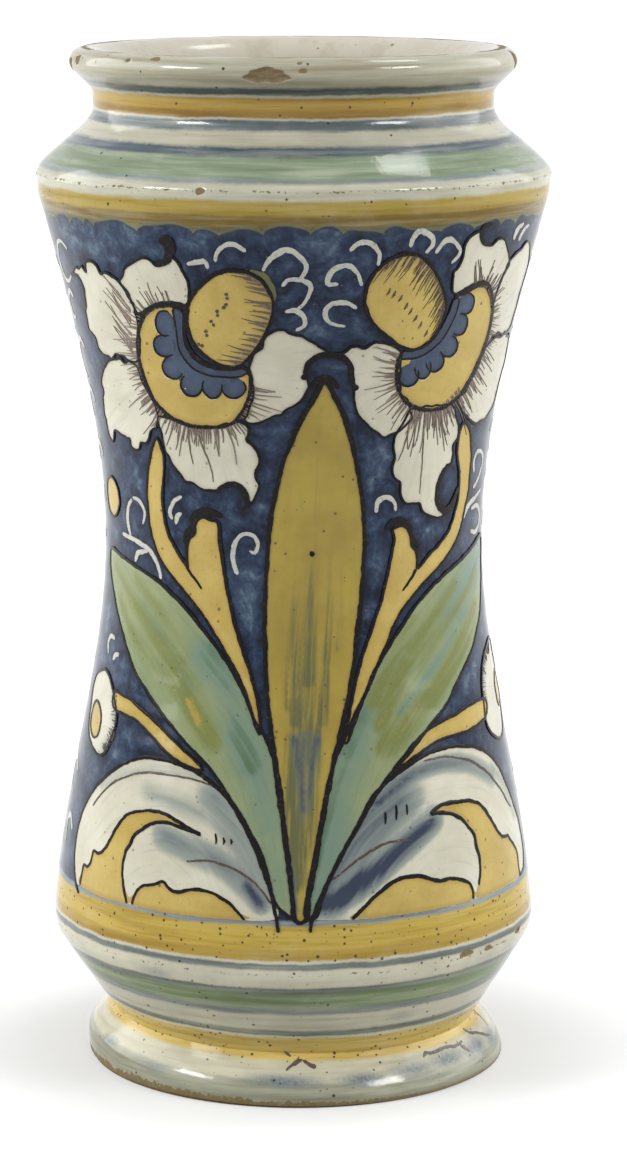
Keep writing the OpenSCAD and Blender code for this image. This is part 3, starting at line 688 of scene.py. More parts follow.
right_fold = [(76.2, 51.2), (75.5, 54.5), (74.8, 57.3), (72.5, 59.4), (70, 61.3), (68.5, 62.3),
              (65.5, 62.8), (62.5, 65), (59, 68.8), (55, 72.5), (50, 74.6), (45, 75.3), (40, 75.3),
              (36.5, 73.8), (38.5, 73.5), (43, 72.6), (47, 70.6), (49.8, 68), (51.6, 65.6), (52.2, 63),
              (53.4, 60), (53.4, 57), (52.6, 53.5), (51.6, 50.6), (60, 50.5), (70, 50.6)]
right_base = [(50.4, 50.5), (50, 53.3), (48.5, 55), (45.5, 56.3), (42, 57.1), (39, 57.1), (36, 57.8),
              (32.5, 59.1), (28.5, 59.4), (24.5, 58.3), (20, 55.3), (17, 52.6), (14.4, 50.5), (30, 50.4)]
print("scroll span:", right_scroll[19][0] - left_scroll[19][0], "mm")

# %% Cream curls scattered on the ground
curls = [[(-26.3, 211.2), (-23.5, 211.8), (-21.5, 212), (-20.8, 210.2)],
         [(-18.8, 212), (-18.5, 214), (-16.5, 216.2), (-14, 216.3), (-11.3, 214.8)],
         [(-7.3, 210), (-5.5, 213), (-2, 215.2), (1, 214), (3, 211), (1.5, 208)],
         [(-2.8, 206.3), (-1, 208), (2.5, 207.6), (4.2, 206), (3, 203), (1, 200.7)],
         [(-2, 200), (0.5, 200.3), (2.5, 198.5), (2.5, 196.5), (0.5, 195.4)],
         [(10.7, 206.8), (8.2, 207), (9.5, 210), (13, 211.2), (15.5, 209), (16.5, 206.2)],
         [(15.3, 200.6), (12.5, 202), (9, 201.8), (7.5, 199.5), (9, 197), (12.5, 196.3)],
         [(13.5, 214.8), (16, 216.8), (19, 216.2), (20.8, 213.8), (20.5, 211)],
         [(28.8, 215.2), (30, 218), (31.8, 219), (34.8, 217.4), (35, 215.5), (33, 213.6)],
         [(36, 213.3), (38.5, 216), (41, 216.3), (43.6, 213.2), (41, 210.5)],
         [(65, 214.5), (67, 217.2), (70, 218.2)], [(68, 214), (71, 216.6), (74, 217.4)],
         [(-36, 130.8), (-37, 134), (-40, 137.3), (-44, 138.8), (-48, 139.4), (-53, 139.8)],
         [(-48.5, 139.4), (-49.8, 143.5), (-49.3, 147.5), (-47.5, 149.6)],
         [(-47, 150), (-44, 149.5), (-42, 147), (-42.8, 143.8)],
         [(-46.5, 133.8), (-45, 136.2), (-41, 137.2)],
         [(-29, 152.5), (-31.5, 151), (-33, 148), (-32, 146.3)],
         [(-29.2, 148.2), (-30.5, 147.3), (-31, 145.2)],
         [(-13.8, 134), (-15, 138), (-14.3, 142), (-12, 144.2), (-9.8, 143.6), (-8.8, 141.5), (-9.5, 139.5),
          (-10.8, 140)],
         [(-56.3, 112.8), (-59, 113), (-60.8, 111), (-60.2, 108.5)],
         [(-53.5, 109.5), (-55.5, 109), (-57, 107.6)],
         [(20.8, 149), (21.3, 151.8), (23.5, 152.8), (25.8, 151.5), (26.3, 149)],
         [(48, 139.8), (51, 144), (55, 147), (60, 148.5), (64, 149.6)],
         [(56.5, 145.8), (60.5, 146), (63.8, 144), (64, 141), (60.5, 139), (56.5, 140)],
         [(57, 155), (56.3, 158), (58.5, 160.3), (62, 159.5), (64, 157), (61.5, 153.5), (57, 151)]]
side_curls = [[(-70.5, 211.5), (-74, 213.3), (-78, 212.5), (-80, 208.5), (-78, 204), (-74, 203),
               (-70.5, 204.8)],
              [(-72, 199), (-75, 200.5), (-78, 198), (-77, 194), (-73.5, 193.5)],
              [(-84, 206), (-88, 208), (-92, 205), (-91, 200), (-87, 198)],
              [(-70, 186), (-74, 188), (-78, 185), (-77, 180), (-73, 178)],
              [(-82, 190), (-86, 187), (-86, 182), (-82, 180)],
              [(-68, 172), (-71, 175), (-75, 174), (-76, 170), (-72, 168)],
              [(-66, 158), (-69, 161), (-73, 160), (-74, 156)],
              [(-78, 164), (-82, 162), (-83, 157), (-80, 154)],
              [(-68, 146), (-71, 149), (-75, 148), (-76, 144)], [(-70, 138), (-73, 136), (-76, 138)],
              [(84, 206), (88, 208), (92, 205), (91, 200), (87, 198)],
              [(82, 190), (86, 188), (87, 183), (83, 181)], [(80, 176), (84, 175), (85, 170), (81, 168)],
              [(70, 164), (74, 166), (77, 162), (75, 158)], [(72, 152), (76, 154), (79, 150), (77, 146)],
              [(72, 139), (75, 142), (78, 139)], [(-78, 76), (-81, 79), (-85, 77), (-85, 72), (-81, 70)],
              [(-76, 62), (-79, 65), (-83, 63), (-82, 58)], [(88, 74), (92, 76), (95, 72), (92, 68)]]
print("curls:", len(curls) + len(side_curls))

# %% [markdown]
# ## Shader helpers
# Materials are wired in code. Small helpers keep that short: one adds a node and fills its sockets, others
# mix two colours, do a sum, ease a value between two limits or read a value kept on the mesh. Colours are
# written as they look on a screen, and turned into linear light here.

# %% Node helpers and the palette
def tint(red, green, blue):
    def linear(c):
        c = c / 255
        return c / 12.92 if c < 0.04045 else ((c + 0.055) / 1.055) ** 2.4
    return (linear(red), linear(green), linear(blue), 1.0)


def put(tree, kind, sockets, **settings):
    node = tree.nodes.new(kind)
    for key, value in settings.items():
        setattr(node, key, value)
    for key, value in sockets.items():
        if isinstance(value, bpy.types.NodeSocket):
            tree.links.new(value, node.inputs[key])
        else:
            node.inputs[key].default_value = value
    return node


def mixed(tree, factor, first, second, how="MIX"):
    sockets = {0: factor, 6: first, 7: second}
    return put(tree, "ShaderNodeMix", sockets, data_type="RGBA", blend_type=how).outputs[2]


def sum_of(tree, how, first, second=0.0, third=0.0, clamp=False):
    values = {0: first, 1: second, 2: third}
    return put(tree, "ShaderNodeMath", values, operation=how, use_clamp=clamp).outputs[0]


def times(tree, first, second, clamp=False):
    return sum_of(tree, "MULTIPLY", first, second, clamp=clamp)


def eased(tree, value, low, high, start=0.0, end=1.0):
    return put(tree, "ShaderNodeMapRange", {0: value, 1: low, 2: high, 3: start, 4: end},
               interpolation_type="SMOOTHSTEP").outputs[0]


def noise(tree, vector, scale, detail=3.0, roughness=0.55, distortion=0.0):
    return put(tree, "ShaderNodeTexNoise",
               {"Vector": vector, "Scale": scale, "Detail": detail, "Roughness": roughness,
                "Distortion": distortion}).outputs[0]


def reading(tree, label):
    return put(tree, "ShaderNodeAttribute", {}, attribute_name=label).outputs["Fac"]


VALUE = "NodeSocketFloat"


def new_group(name, inputs, outputs):
    tree = bpy.data.node_groups.new(name, "ShaderNodeTree")
    for label, start in inputs.items():
        tree.interface.new_socket(label, in_out="INPUT", socket_type=VALUE).default_value = start
    for label in outputs:
        tree.interface.new_socket(label, in_out="OUTPUT", socket_type=VALUE)
    return tree, tree.nodes.new("NodeGroupInput").outputs, tree.nodes.new("NodeGroupOutput").inputs


def use_group(tree, group, sockets):
    return put(tree, "ShaderNodeGroup", sockets, node_tree=group).outputs


def in_mm(tree):
    place = put(tree, "ShaderNodeTexCoord", {}).outputs["Object"]
    return put(tree, "ShaderNodeVectorMath", {0: place, "Scale": 1000.0}, operation="SCALE").outputs[0]


def stretched(tree, vector, factors):
    return put(tree, "ShaderNodeVectorMath", {0: vector, 1: factors}, operation="MULTIPLY").outputs[0]


def ramp_of(tree, factor, stops):
    ramp = put(tree, "ShaderNodeValToRGB", {0: factor})
    marks = ramp.color_ramp.elements
    while len(marks) < len(stops):
        marks.new(1.0)
    for mark, (place, colour) in zip(marks, stops):
        mark.position = place
        mark.color = colour
    return ramp.outputs


CREAM = tint(202, 199, 180)
STONE = tint(172, 172, 158)
CLAY = tint(118, 100, 70)
COBALT = tint(56, 67, 94)
YELLOW = tint(190, 164, 74)
OCHRE = tint(146, 115, 40)
SAGE = tint(128, 146, 120)
LEAF = tint(114, 136, 92)
print("palette ready, cream in linear light:", [round(c, 2) for c in CREAM[:3]])

# %% [markdown]
# ## Shared effects
# Three effects run over every coat and every stroke: slow and fine colour drift, pinholes that burst in the
# kiln, and a soft old gloss. Each is one node group, so a change here reaches the whole jar.

# %% Drift of colour over the jar, in mm
drift, given, result = new_group("Colour drift", {"Wobble": 0.35}, ("Height", "Mottle", "Grain", "Streak"))
where = in_mm(drift)
wheel = stretched(drift, where, (0.03, 0.03, 0.62))
slow = sum_of(drift, "SUBTRACT", noise(drift, where, 0.09, 2.0), 0.5)
quick = sum_of(drift, "SUBTRACT", noise(drift, where, 0.8, 2.0), 0.5)
sway = sum_of(drift, "ADD", times(drift, slow, 2.6), times(drift, quick, 0.9))
height = sum_of(drift, "MULTIPLY_ADD", sway, given["Wobble"], reading(drift, "level"))
drift.links.new(height, result["Height"])
drift.links.new(noise(drift, where, 0.07, 5.0, 0.6), result["Mottle"])
drift.links.new(noise(drift, where, 1.1, 3.0, 0.6), result["Grain"])
drift.links.new(noise(drift, wheel, 1.0, 4.0, 0.6), result["Streak"])

# %% Pinholes and specks
pinholes, given, result = new_group("Pinholes", {"Scale": 0.3, "Share": 0.3, "Size": 0.12}, ("Mask",))
cells = put(pinholes, "ShaderNodeTexVoronoi", {"Vector": in_mm(pinholes), "Scale": given["Scale"]})
chosen = put(pinholes, "ShaderNodeSeparateColor", {0: cells.outputs["Color"]}).outputs
some = sum_of(pinholes, "LESS_THAN", chosen[0], given["Share"])
size = times(pinholes, given["Size"], sum_of(pinholes, "ADD", chosen[1], 0.35))
rim = times(pinholes, size, 0.6)
span = {0: cells.outputs["Distance"], 1: rim, 2: size, 3: 1.0, 4: 0.0}
hole = put(pinholes, "ShaderNodeMapRange", span).outputs[0]
pinholes.links.new(times(pinholes, hole, some), result["Mask"])


def pierced(tree, colour, scale, share, size, strength, dark):
    holes = use_group(tree, pinholes, {"Scale": scale, "Share": share, "Size": size})["Mask"]
    return mixed(tree, times(tree, holes, strength), colour, dark)


# %% Gloss of an old tin glaze
starts = {"Dull": 0.0, "Smooth": 0.06, "Worn": 0.2}
gloss, given, result = new_group("Old gloss", starts, ("Roughness", "Height"))
where = in_mm(gloss)
cloud = noise(gloss, where, 0.12, 4.0, 0.6)
peel = noise(gloss, where, 0.55, 2.0, 0.5)
fine_peel = times(gloss, noise(gloss, where, 2.5, 2.0), 0.12)
span = {0: cloud, 1: 0.35, 2: 0.7, 3: given["Smooth"], 4: given["Worn"]}
sheen = put(gloss, "ShaderNodeMapRange", span).outputs[0]
matt = times(gloss, given["Dull"], 0.75)
gloss.links.new(sum_of(gloss, "ADD", sheen, matt, clamp=True), result["Roughness"])
gloss.links.new(sum_of(gloss, "ADD", peel, fine_peel), result["Height"])
print("groups:", [g.name for g in bpy.data.node_groups])

# %% Start a glazed material and close it
def new_material(name):
    material = bpy.data.materials.new(name)
    material.use_nodes = True
    tree = material.node_tree
    return material, tree, tree.nodes["Principled BSDF"]


GLOSS_LEVEL = 0.34
PEEL_DEPTH = 0.0006


def glazed(tree, shader, colour, dull=0.0, bump=0.05, level=GLOSS_LEVEL):
    skin = use_group(tree, gloss, {"Dull": dull})
    shader.inputs["Specular IOR Level"].default_value = level
    tree.links.new(colour, shader.inputs["Base Color"])
    tree.links.new(skin["Roughness"], shader.inputs["Roughness"])
    sockets = {"Strength": bump, "Distance": PEEL_DEPTH, "Height": skin["Height"]}
    tree.links.new(put(tree, "ShaderNodeBump", sockets).outputs[0], shader.inputs["Normal"])


# %% [markdown]
# ## The coat with its turned bands
# The bands were brushed on while the jar turned on a wheel, so their edges waver and their colour runs in
# streaks. One colour ramp over the height holds the bands near the lip and one holds those near the foot. A
# wavering height goes into both. Where the brush was thin the white shows through. Between them lies the
# cobalt ground, which the painter filled in round the flowers with a loaded brush, so it pools darker along
# their edges. Two places in the ramps are painted shade, not glaze colour: the grey of the lip's face and
# roll, and the darker grey on the lower face of the foot.

# %% Bands as two ramps over the height
UPPER_BANDS = [(220.4, tint(96, 86, 42), 1), (223.4, tint(124, 103, 46), 1), (227.0, tint(168, 146, 68), 1),
               (230.9, tint(176, 178, 162), 0.6), (231.9, tint(106, 126, 134), 0.85), (236.8, SAGE, 1),
               (239.0, tint(74, 90, 104), 1), (242.3, STONE, 0.6), (244.9, tint(82, 98, 108), 0.95),
               (245.4, STONE, 0.5), (247.4, OCHRE, 1), (250.3, tint(172, 142, 60), 1), (250.9, STONE, 0.5),
               # The last two bands, the lip's face under its roll and the roll itself, are darker grey than
               # the white glaze: painted shade on the lip.
               (252.8, tint(64, 78, 84), 0.95), (257.0, tint(162, 159, 138), 0.75),
               (270, tint(172, 170, 152), 1)]
# The first band, up to 6.4 mm, is a darker grey: painted shade on the lower face of the foot.
LOWER_BANDS = [(6.4, tint(144, 146, 126), 0.95), (10.7, tint(190, 187, 162), 0.5),
               (17.2, tint(206, 182, 104), 1), (17.8, CREAM, 0), (19.7, tint(104, 112, 106), 0.95),
               (24.6, tint(186, 183, 160), 0.6), (26.6, tint(108, 120, 118), 0.95), (31.3, LEAF, 1),
               (33.2, tint(94, 108, 98), 0.95), (37.9, CREAM, 0), (39.7, tint(106, 118, 120), 0.95),
               (40.3, CREAM, 0.2), (43.0, tint(172, 144, 60), 1), (49.0, YELLOW, 1),
               (50.5, tint(112, 128, 138), 0.9), (80, COBALT, 1)]


def band_ramp(tree, height, bands, low, high, soft):
    edges = [(low, bands[0])]
    tops = [low] + [band[0] for band in bands]
    for k in range(len(bands) - 1):
        blur = min(soft, 0.42 * (tops[k + 1] - tops[k]), 0.42 * (tops[k + 2] - tops[k + 1]))
        edges += [(tops[k + 1] - blur, bands[k]), (tops[k + 1] + blur, bands[k + 1])]
    stops = [((z - low) / (high - low), (*colour[:3], cover)) for z, (_, colour, cover) in edges]
    return ramp_of(tree, put(tree, "ShaderNodeMapRange", {0: height, 1: low, 2: high}).outputs[0], stops)


SPLIT_Z = 135.0
coat, tree, shader = new_material("painted_tin_glaze")
flow = use_group(tree, drift, {"Wobble": 0.42})
upper = band_ramp(tree, flow["Height"], UPPER_BANDS, 214, 262, 0.4)
lower = band_ramp(tree, flow["Height"], LOWER_BANDS, 0, 56, 0.4)
is_upper = sum_of(tree, "GREATER_THAN", flow["Height"], SPLIT_Z)
band = mixed(tree, is_upper, lower["Color"], upper["Color"])
cover = put(tree, "ShaderNodeMix", {0: is_upper, 2: lower["Alpha"], 3: upper["Alpha"]}).outputs[0]
print("bands:", len(UPPER_BANDS) + len(LOWER_BANDS))

# %% Brushed cobalt ground with a scalloped top edge
FRIEZE_LOW, FRIEZE_TOP = 50.0, 218.5
SCALLOPS = 18.0
place = in_mm(tree)
brushed = noise(tree, place, 0.085, 4.0, 0.55, 1.4)
dabbed = noise(tree, place, 0.34, 3.0, 0.5, 0.8)
load = sum_of(tree, "ADD", times(tree, brushed, 0.62), times(tree, dabbed, 0.38))
pool = eased(tree, reading(tree, "gap"), 0.5, 4.0, 0.11, 0.0)
load = sum_of(tree, "ADD", load, pool)
cobalt = ramp_of(tree, load,
                 [(0.36, tint(98, 118, 133)), (0.45, tint(62, 79, 102)), (0.545, tint(39, 55, 81)),
                  (0.67, tint(15, 25, 46))])["Color"]
grainy = eased(tree, flow["Grain"], 0.4, 0.66, 0.0, 0.4)
ground = mixed(tree, grainy, cobalt, tint(150, 150, 156), "MULTIPLY")
wander = times(tree, noise(tree, place, 0.04, 1.0), 16.0)
swell = eased(tree, noise(tree, place, 0.035, 2.0), 0.38, 0.6, 0.6, 2.6)
beat = sum_of(tree, "SINE", sum_of(tree, "MULTIPLY_ADD", reading(tree, "bearing"), SCALLOPS, wander))
bow = sum_of(tree, "POWER", sum_of(tree, "ABSOLUTE", beat), 0.5)
top_edge = sum_of(tree, "MULTIPLY_ADD", bow, swell, FRIEZE_TOP)
below_top = sum_of(tree, "SUBTRACT", top_edge, flow["Height"])
above_low = eased(tree, flow["Height"], FRIEZE_LOW, FRIEZE_LOW + 0.9)
in_frieze = times(tree, above_low, eased(tree, below_top, -0.3, 0.3))
pooled = times(tree, eased(tree, below_top, 1.5, 0.3), 0.6)
ground = mixed(tree, pooled, ground, tint(52, 52, 56))

# %% White glaze, streaked bands over it, then the frieze and the smears
white = mixed(tree, eased(tree, flow["Mottle"], 0.35, 0.68), tint(206, 202, 179), tint(186, 183, 162))
white = mixed(tree, eased(tree, flow["Streak"], 0.5, 0.75, 0.0, 0.35), white, tint(168, 172, 164))
streaked = eased(tree, flow["Streak"], 0.42, 0.72, 0.0, 0.55)
deep = mixed(tree, streaked, band, tint(186, 168, 124), "MULTIPLY")
shares = put(tree, "ShaderNodeSeparateColor", {0: band}).outputs
warm = eased(tree, sum_of(tree, "SUBTRACT", shares["Red"], shares["Blue"]), 0.12, 0.26)
thinnest = eased(tree, warm, 0.0, 1.0, 0.74, 0.95)
thin = times(tree, cover, eased(tree, flow["Streak"], 0.34, 0.54, thinnest, 1.0))
thin = times(tree, thin, eased(tree, flow["Mottle"], 0.3, 0.5, 0.9, 1.0))
surface = mixed(tree, thin, white, deep)
near_top = eased(tree, flow["Height"], 200.0, 210.0, 0.0, 0.55)
bleed = times(tree, eased(tree, below_top, -1.6, -0.2), near_top)
surface = mixed(tree, bleed, surface, tint(106, 118, 100))
surface = mixed(tree, in_frieze, surface, ground)
touched = times(tree, reading(tree, "smear"), eased(tree, flow["Grain"], 0.3, 0.7, 0.7, 1.1), clamp=True)
surface = mixed(tree, touched, surface, tint(96, 110, 118))

# %% Flaws: pinholes, worn edges, chips
FRIEZE_GLOSS = 0.19
WORN_EDGES = [(229.2, 1.3, 0.47), (36.7, 1.4, 0.44), (258.6, 1.8, 0.28), (0.4, 3.6, 0.72)]


def bare_crest(tree, flow):
    uneven = sum_of(tree, "ADD", reading(tree, "level"), times(tree, flow["Mottle"], 0.5))
    return eased(tree, uneven, TOP_Z + 0.14, TOP_Z + 0.26)


share = eased(tree, times(tree, warm, cover), 0.0, 1.0, 0.14, 0.8)
share = times(tree, share, eased(tree, flow["Height"], 60.0, 240.0, 1.0, 0.25))
surface = pierced(tree, surface, 0.62, 0.12, 0.16, 0.55, tint(120, 100, 74))
surface = pierced(tree, surface, 0.6, share, 0.24, 0.9, tint(40, 31, 24))
wear = 0.0
for edge_height, reach, strength in WORN_EDGES:
    away = sum_of(tree, "ABSOLUTE", sum_of(tree, "SUBTRACT", flow["Height"], edge_height))
    wear = sum_of(tree, "MAXIMUM", eased(tree, away, 0.0, reach, strength, 0.0), wear)
crumbly = noise(tree, place, 0.8, 4.0, 0.65)
worn = eased(tree, sum_of(tree, "ADD", crumbly, wear), 0.98, 1.04)
worn = sum_of(tree, "MAXIMUM", worn, bare_crest(tree, flow))
surface = mixed(tree, worn, surface, mixed(tree, flow["Grain"], tint(92, 82, 50), tint(140, 126, 90)))
chipped = sum_of(tree, "ADD", reading(tree, "chip"), times(tree, crumbly, 0.3))
broken = eased(tree, chipped, 0.16, 0.2)
surface = mixed(tree, broken, surface, mixed(tree, flow["Grain"], tint(100, 84, 60), tint(148, 130, 100)))
glazed(tree, shader, surface, sum_of(tree, "MAXIMUM", broken, worn))
frieze_coat = coat.copy()
frieze_coat.name = "painted_frieze_glaze"
frieze_coat.node_tree.nodes["Principled BSDF"].inputs["Specular IOR Level"].default_value = FRIEZE_GLOSS
for piece, glaze in ((collar_coat, coat), (base_coat, coat), (wall_coat, frieze_coat)):
    piece.data.materials.append(glaze)
    print(piece.name, "wears", glaze.name)

# %% [markdown]
# ## Bare clay and lining
# The clay is buff earthenware with sandy grains. It shows on the standing ring, in the chips and under the
# floor. The lining was glazed by swilling, so it is uneven, with drips that run up and down the wall.

# %% Clay
clay, tree, shader = new_material("buff_clay")
flow = use_group(tree, drift, {})
body = mixed(tree, flow["Mottle"], tint(128, 102, 70), tint(98, 76, 52))
body = mixed(tree, eased(tree, flow["Grain"], 0.55, 0.75, 0.0, 0.6), body, tint(160, 136, 100))
body = pierced(tree, body, 0.9, 0.35, 0.2, 0.6, tint(70, 52, 36))
glazed(tree, shader, body, 0.8, 0.4)
lip_clay.data.materials.append(clay)
foot_clay.data.materials.append(clay)
for node in ("floor_disc", "lower_body", "lower_wall", "upper_wall", "shoulder_collar"):
    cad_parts[node].data.materials.clear()
    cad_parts[node].data.materials.append(clay)

# %% Lining
swilled, tree, shader = new_material("swilled_lining")
flow = use_group(tree, drift, {})
runs = noise(tree, stretched(tree, in_mm(tree), (0.16, 0.16, 0.012)), 1.0, 4.0, 0.6)
inner = mixed(tree, flow["Mottle"], tint(204, 199, 184), tint(180, 174, 158))
inner = mixed(tree, eased(tree, runs, 0.5, 0.72, 0.0, 0.5), inner, tint(168, 160, 140))
inner = pierced(tree, inner, 0.2, 0.35, 0.12, 0.8, tint(80, 62, 44))
bare = bare_crest(tree, flow)
glazed(tree, shader, mixed(tree, bare, inner, CLAY), bare)
lining.data.materials.append(swilled)
print("materials:", [m.name for m in bpy.data.materials])

# %% [markdown]
# ## Pigments
# Each pigment is a thin wash under the glaze. It is paler where the brush ran dry and darker at the edge of
# a stroke, where the wet colour gathered. The brush grain follows each leaf: every fill carries the
# distance along and across its own middle line, and stretched noise over those two gives streaks that bend
# with the leaf.

# %% Brush grain and gathered edges
brush, given, result = new_group("Brush grain", {"Fine": 0.9, "Long": 0.05}, ("Grain", "Broad"))
across = times(brush, reading(brush, "across"), given["Fine"])
along = times(brush, reading(brush, "along"), given["Long"])
lay = put(brush, "ShaderNodeCombineXYZ", {0: across, 1: along}).outputs[0]
wide = put(brush, "ShaderNodeVectorMath", {0: lay, "Scale": 0.36}, operation="SCALE").outputs[0]
brush.links.new(noise(brush, lay, 1.0, 4.0, 0.55, 0.3), result["Grain"])
brush.links.new(noise(brush, wide, 1.0, 2.0, 0.5, 0.2), result["Broad"])


class Pigment:
    def __init__(self, name, pale, full, gathered, flaw=0.7):
        self.material, self.tree, self.shader = new_material(name)
        self.flow = use_group(self.tree, drift, {})
        self.grain = use_group(self.tree, brush, {})
        self.flaw = flaw
        mottle = eased(self.tree, self.flow["Mottle"], 0.32, 0.68)
        self.colour = mixed(self.tree, mottle, tint(*pale), tint(*full))
        self.over(gathered, self.read("edge"), 0.2, 1.6, 0.55, 0.0)

    def read(self, label):
        return reading(self.tree, label)

    def eased(self, value, low, high, start=0.0, end=1.0):
        return eased(self.tree, value, low, high, start, end)

    def times(self, first, second):
        return times(self.tree, first, second)

    def over(self, colour, value, low, high, start=0.0, end=1.0):
        cover = self.eased(value, low, high, start, end)
        self.colour = mixed(self.tree, cover, self.colour, tint(*colour))

    def fire(self, level=GLOSS_LEVEL):
        colour = pierced(self.tree, self.colour, 0.42, 0.36, 0.17, self.flaw, tint(56, 42, 30))
        glazed(self.tree, self.shader, colour, level=level)
        return self.material


# %% White of the petals and scrolled leaves
paint = Pigment("reserved_white", (209, 206, 187), (196, 192, 171), (184, 180, 160), 0.5)
paint.over((160, 156, 148), paint.grain["Grain"], 0.5, 0.72, 0.0, 0.28)
dipped = paint.times(paint.read("wash"), paint.eased(paint.grain["Broad"], 0.25, 0.65, 0.75, 1.2))
paint.over((140, 148, 140), dipped, 0.05, 0.5)
paint.over((84, 97, 106), dipped, 0.45, 0.8, 0.0, 0.6)
paint.over((40, 52, 74), dipped, 0.7, 1.1)
petal_white = paint.fire()

# %% Yellow of cups, buds and stems
paint = Pigment("antimony_yellow", (194, 170, 92), (180, 154, 76), (160, 130, 60))
paint.over((160, 130, 62), paint.flow["Grain"], 0.52, 0.74, 0.0, 0.3)
paint.over((120, 98, 52), paint.read("stain"), 0.0, 1.0, 0.0, 0.8)
warm_yellow = paint.fire()

# %% Lance leaf: yellow with olive streaks
paint = Pigment("lance_yellow", (168, 148, 60), (152, 131, 52), (132, 112, 46))
paint.over((156, 128, 58), paint.grain["Broad"], 0.5, 0.7, 0.0, 0.3)
stroke = paint.times(paint.read("stain"), paint.eased(paint.grain["Grain"], 0.3, 0.62, 0.6, 1.3))
paint.over((88, 92, 56), stroke, 0.16, 0.9, 0.0, 0.95)
dip = paint.times(paint.read("wash"), paint.eased(paint.grain["Grain"], 0.3, 0.65, 0.8, 1.15))
paint.over((98, 106, 88), dip, 0.1, 0.6, 0.0, 0.7)
paint.over((50, 62, 86), dip, 0.42, 1.0)
lance_yellow = paint.fire()

# %% Green leaves: celadon edges, teal towards the root, olive strokes along the middle
paint = Pigment("copper_green", (142, 151, 107), (128, 141, 100), (142, 156, 126), 0.4)
streaky = paint.eased(paint.grain["Broad"], 0.32, 0.62, 0.55, 1.3)
teal = paint.times(paint.read("wash"), paint.eased(paint.flow["Mottle"], 0.3, 0.66, 0.75, 1.15))
paint.over((110, 134, 116), teal, 0.05, 0.85)
paint.over((82, 108, 78), paint.times(teal, streaky), 0.6, 1.3)
dusty = paint.eased(paint.flow["Grain"], 0.3, 0.66, 0.82, 1.1)
olive = paint.times(paint.read("stain"), paint.times(dusty, streaky))
paint.over((114, 121, 58), olive, 0.02, 0.95, 0.0, 0.92)
paint.over((170, 146, 66), olive, 1.0, 1.6, 0.0, 0.85)
paint.over((100, 120, 88), paint.grain["Grain"], 0.48, 0.72, 0.0, 0.35)
leaf_green = paint.fire()

# %% Cobalt beads, cream curls, dark outlines and hatching
INK_GLOSS = 0.14
bead_blue = Pigment("bead_cobalt", (66, 82, 106), (46, 60, 84), (30, 40, 60), 0.3).fire()
paint = Pigment("curl_cream", (208, 206, 190), (188, 188, 174), (172, 175, 168), 0.3)
paint.over((112, 122, 136), paint.flow["Grain"], 0.5, 0.7, 0.0, 0.5)
curl_cream = paint.fire()
paint = Pigment("outline_manganese", (24, 20, 21), (15, 13, 15), (19, 16, 18), 0.0)
paint.over((78, 62, 46), paint.flow["Grain"], 0.54, 0.74, 0.0, 0.5)
outline_dark = paint.fire(INK_GLOSS)
paint = Pigment("hatch_manganese", (84, 68, 52), (62, 48, 40), (70, 56, 46), 0.0)
paint.colour = mixed(paint.tree, paint.read("stain"), paint.colour, tint(142, 126, 114))
paint.over((168, 150, 128), paint.flow["Grain"], 0.5, 0.72, 0.0, 0.4)
hatch_brown = paint.fire()
print("pigments:", [m.name for m in bpy.data.materials if m.users == 0])

# %% [markdown]
# ## Painting the frieze
# The front follows the drawing. The side away from the viewer carries the same bouquet turned over, which
# is how a workshop filled such a jar. Fills lie at slightly different heights, in the order a painter lays
# them, so a later colour covers an earlier one without flicker. Rosettes and curls fill the two sides, and
# a few brown scars mark the foot, where its glaze cracked.

# %% Heights of the layers, in mm over the glaze
LIFT = {"leaf": 0.09, "petal": 0.10, "stem": 0.125, "scroll": 0.13, "lance": 0.15, "cup": 0.15,
        "fold": 0.17, "pale": 0.185, "bead": 0.215, "hatch": 0.25, "line": 0.27}
CURL_WIDTHS = [0.9, 1.35, 1.2, 0.8]


def oval(s, z, wide, high, lobes=0, depth=0.0, count=16, start=0.0):
    turns = np.linspace(0, 2 * math.pi, count, endpoint=False) + start
    size = 1 + depth * np.cos(lobes * turns)
    return list(zip(s + wide * size * np.cos(turns), z + high * size * np.sin(turns)))


# %% The layers of one bouquet
class Bouquet:
    def __init__(self, side, place, seed):
        self.place = place
        self.petals = Layer(side + "_white_petals", seed)
        self.green = Layer(side + "_green_leaves", seed + 1)
        self.gold = Layer(side + "_yellow_stems_and_cups", seed + 2)
        self.lance = Layer(side + "_lance_leaf", seed + 3)
        self.scroll = Layer(side + "_scrolled_leaves", seed + 4)
        self.folds = Layer(side + "_scroll_linings", seed + 5)
        self.blue = Layer(side + "_cobalt_beads", seed + 6)
        self.curl = Layer(side + "_cream_curls", seed + 7)
        self.dark = Layer(side + "_dark_outlines", seed + 8)
        self.hatch = Layer(side + "_hatching", seed + 9)

    def outlined(self, shape, width):
        self.dark.line(shape, width, LIFT["line"], self.place, closed=True)

    def ink(self, route, widths):
        self.dark.line(route, widths, LIFT["line"], self.place)


# %% Leaves, petals, stems and sprigs
def paint_leaves_and_petals(on):
    for shape, strokes, spine in ((left_leaf, LEFT_STROKES,
                                   [(-4, 54), (-7, 75), (-13, 90), (-24, 104), (-40, 119), (-60, 133)]),
                                  (right_leaf, RIGHT_STROKES,
                                   [(5, 54), (9, 70), (17, 90), (29, 106), (46, 120), (66, 134)])):
        on.green.fill(shape, LIFT["leaf"], on.place, spine=spine, mesh=1.5, washes=strokes)
        on.outlined(shape, 0.95)
    for shapes, focus in ((left_petals, (-24, 186)), (right_petals, (41, 190))):
        for shape in shapes:
            on.petals.fill(shape, LIFT["petal"], on.place, fan=focus)
            on.outlined(shape, 0.62)
    for shape in (left_sprig, right_sprig, left_stem, right_stem):
        on.gold.fill(shape, LIFT["stem"], on.place)
        on.outlined(shape, 0.8)


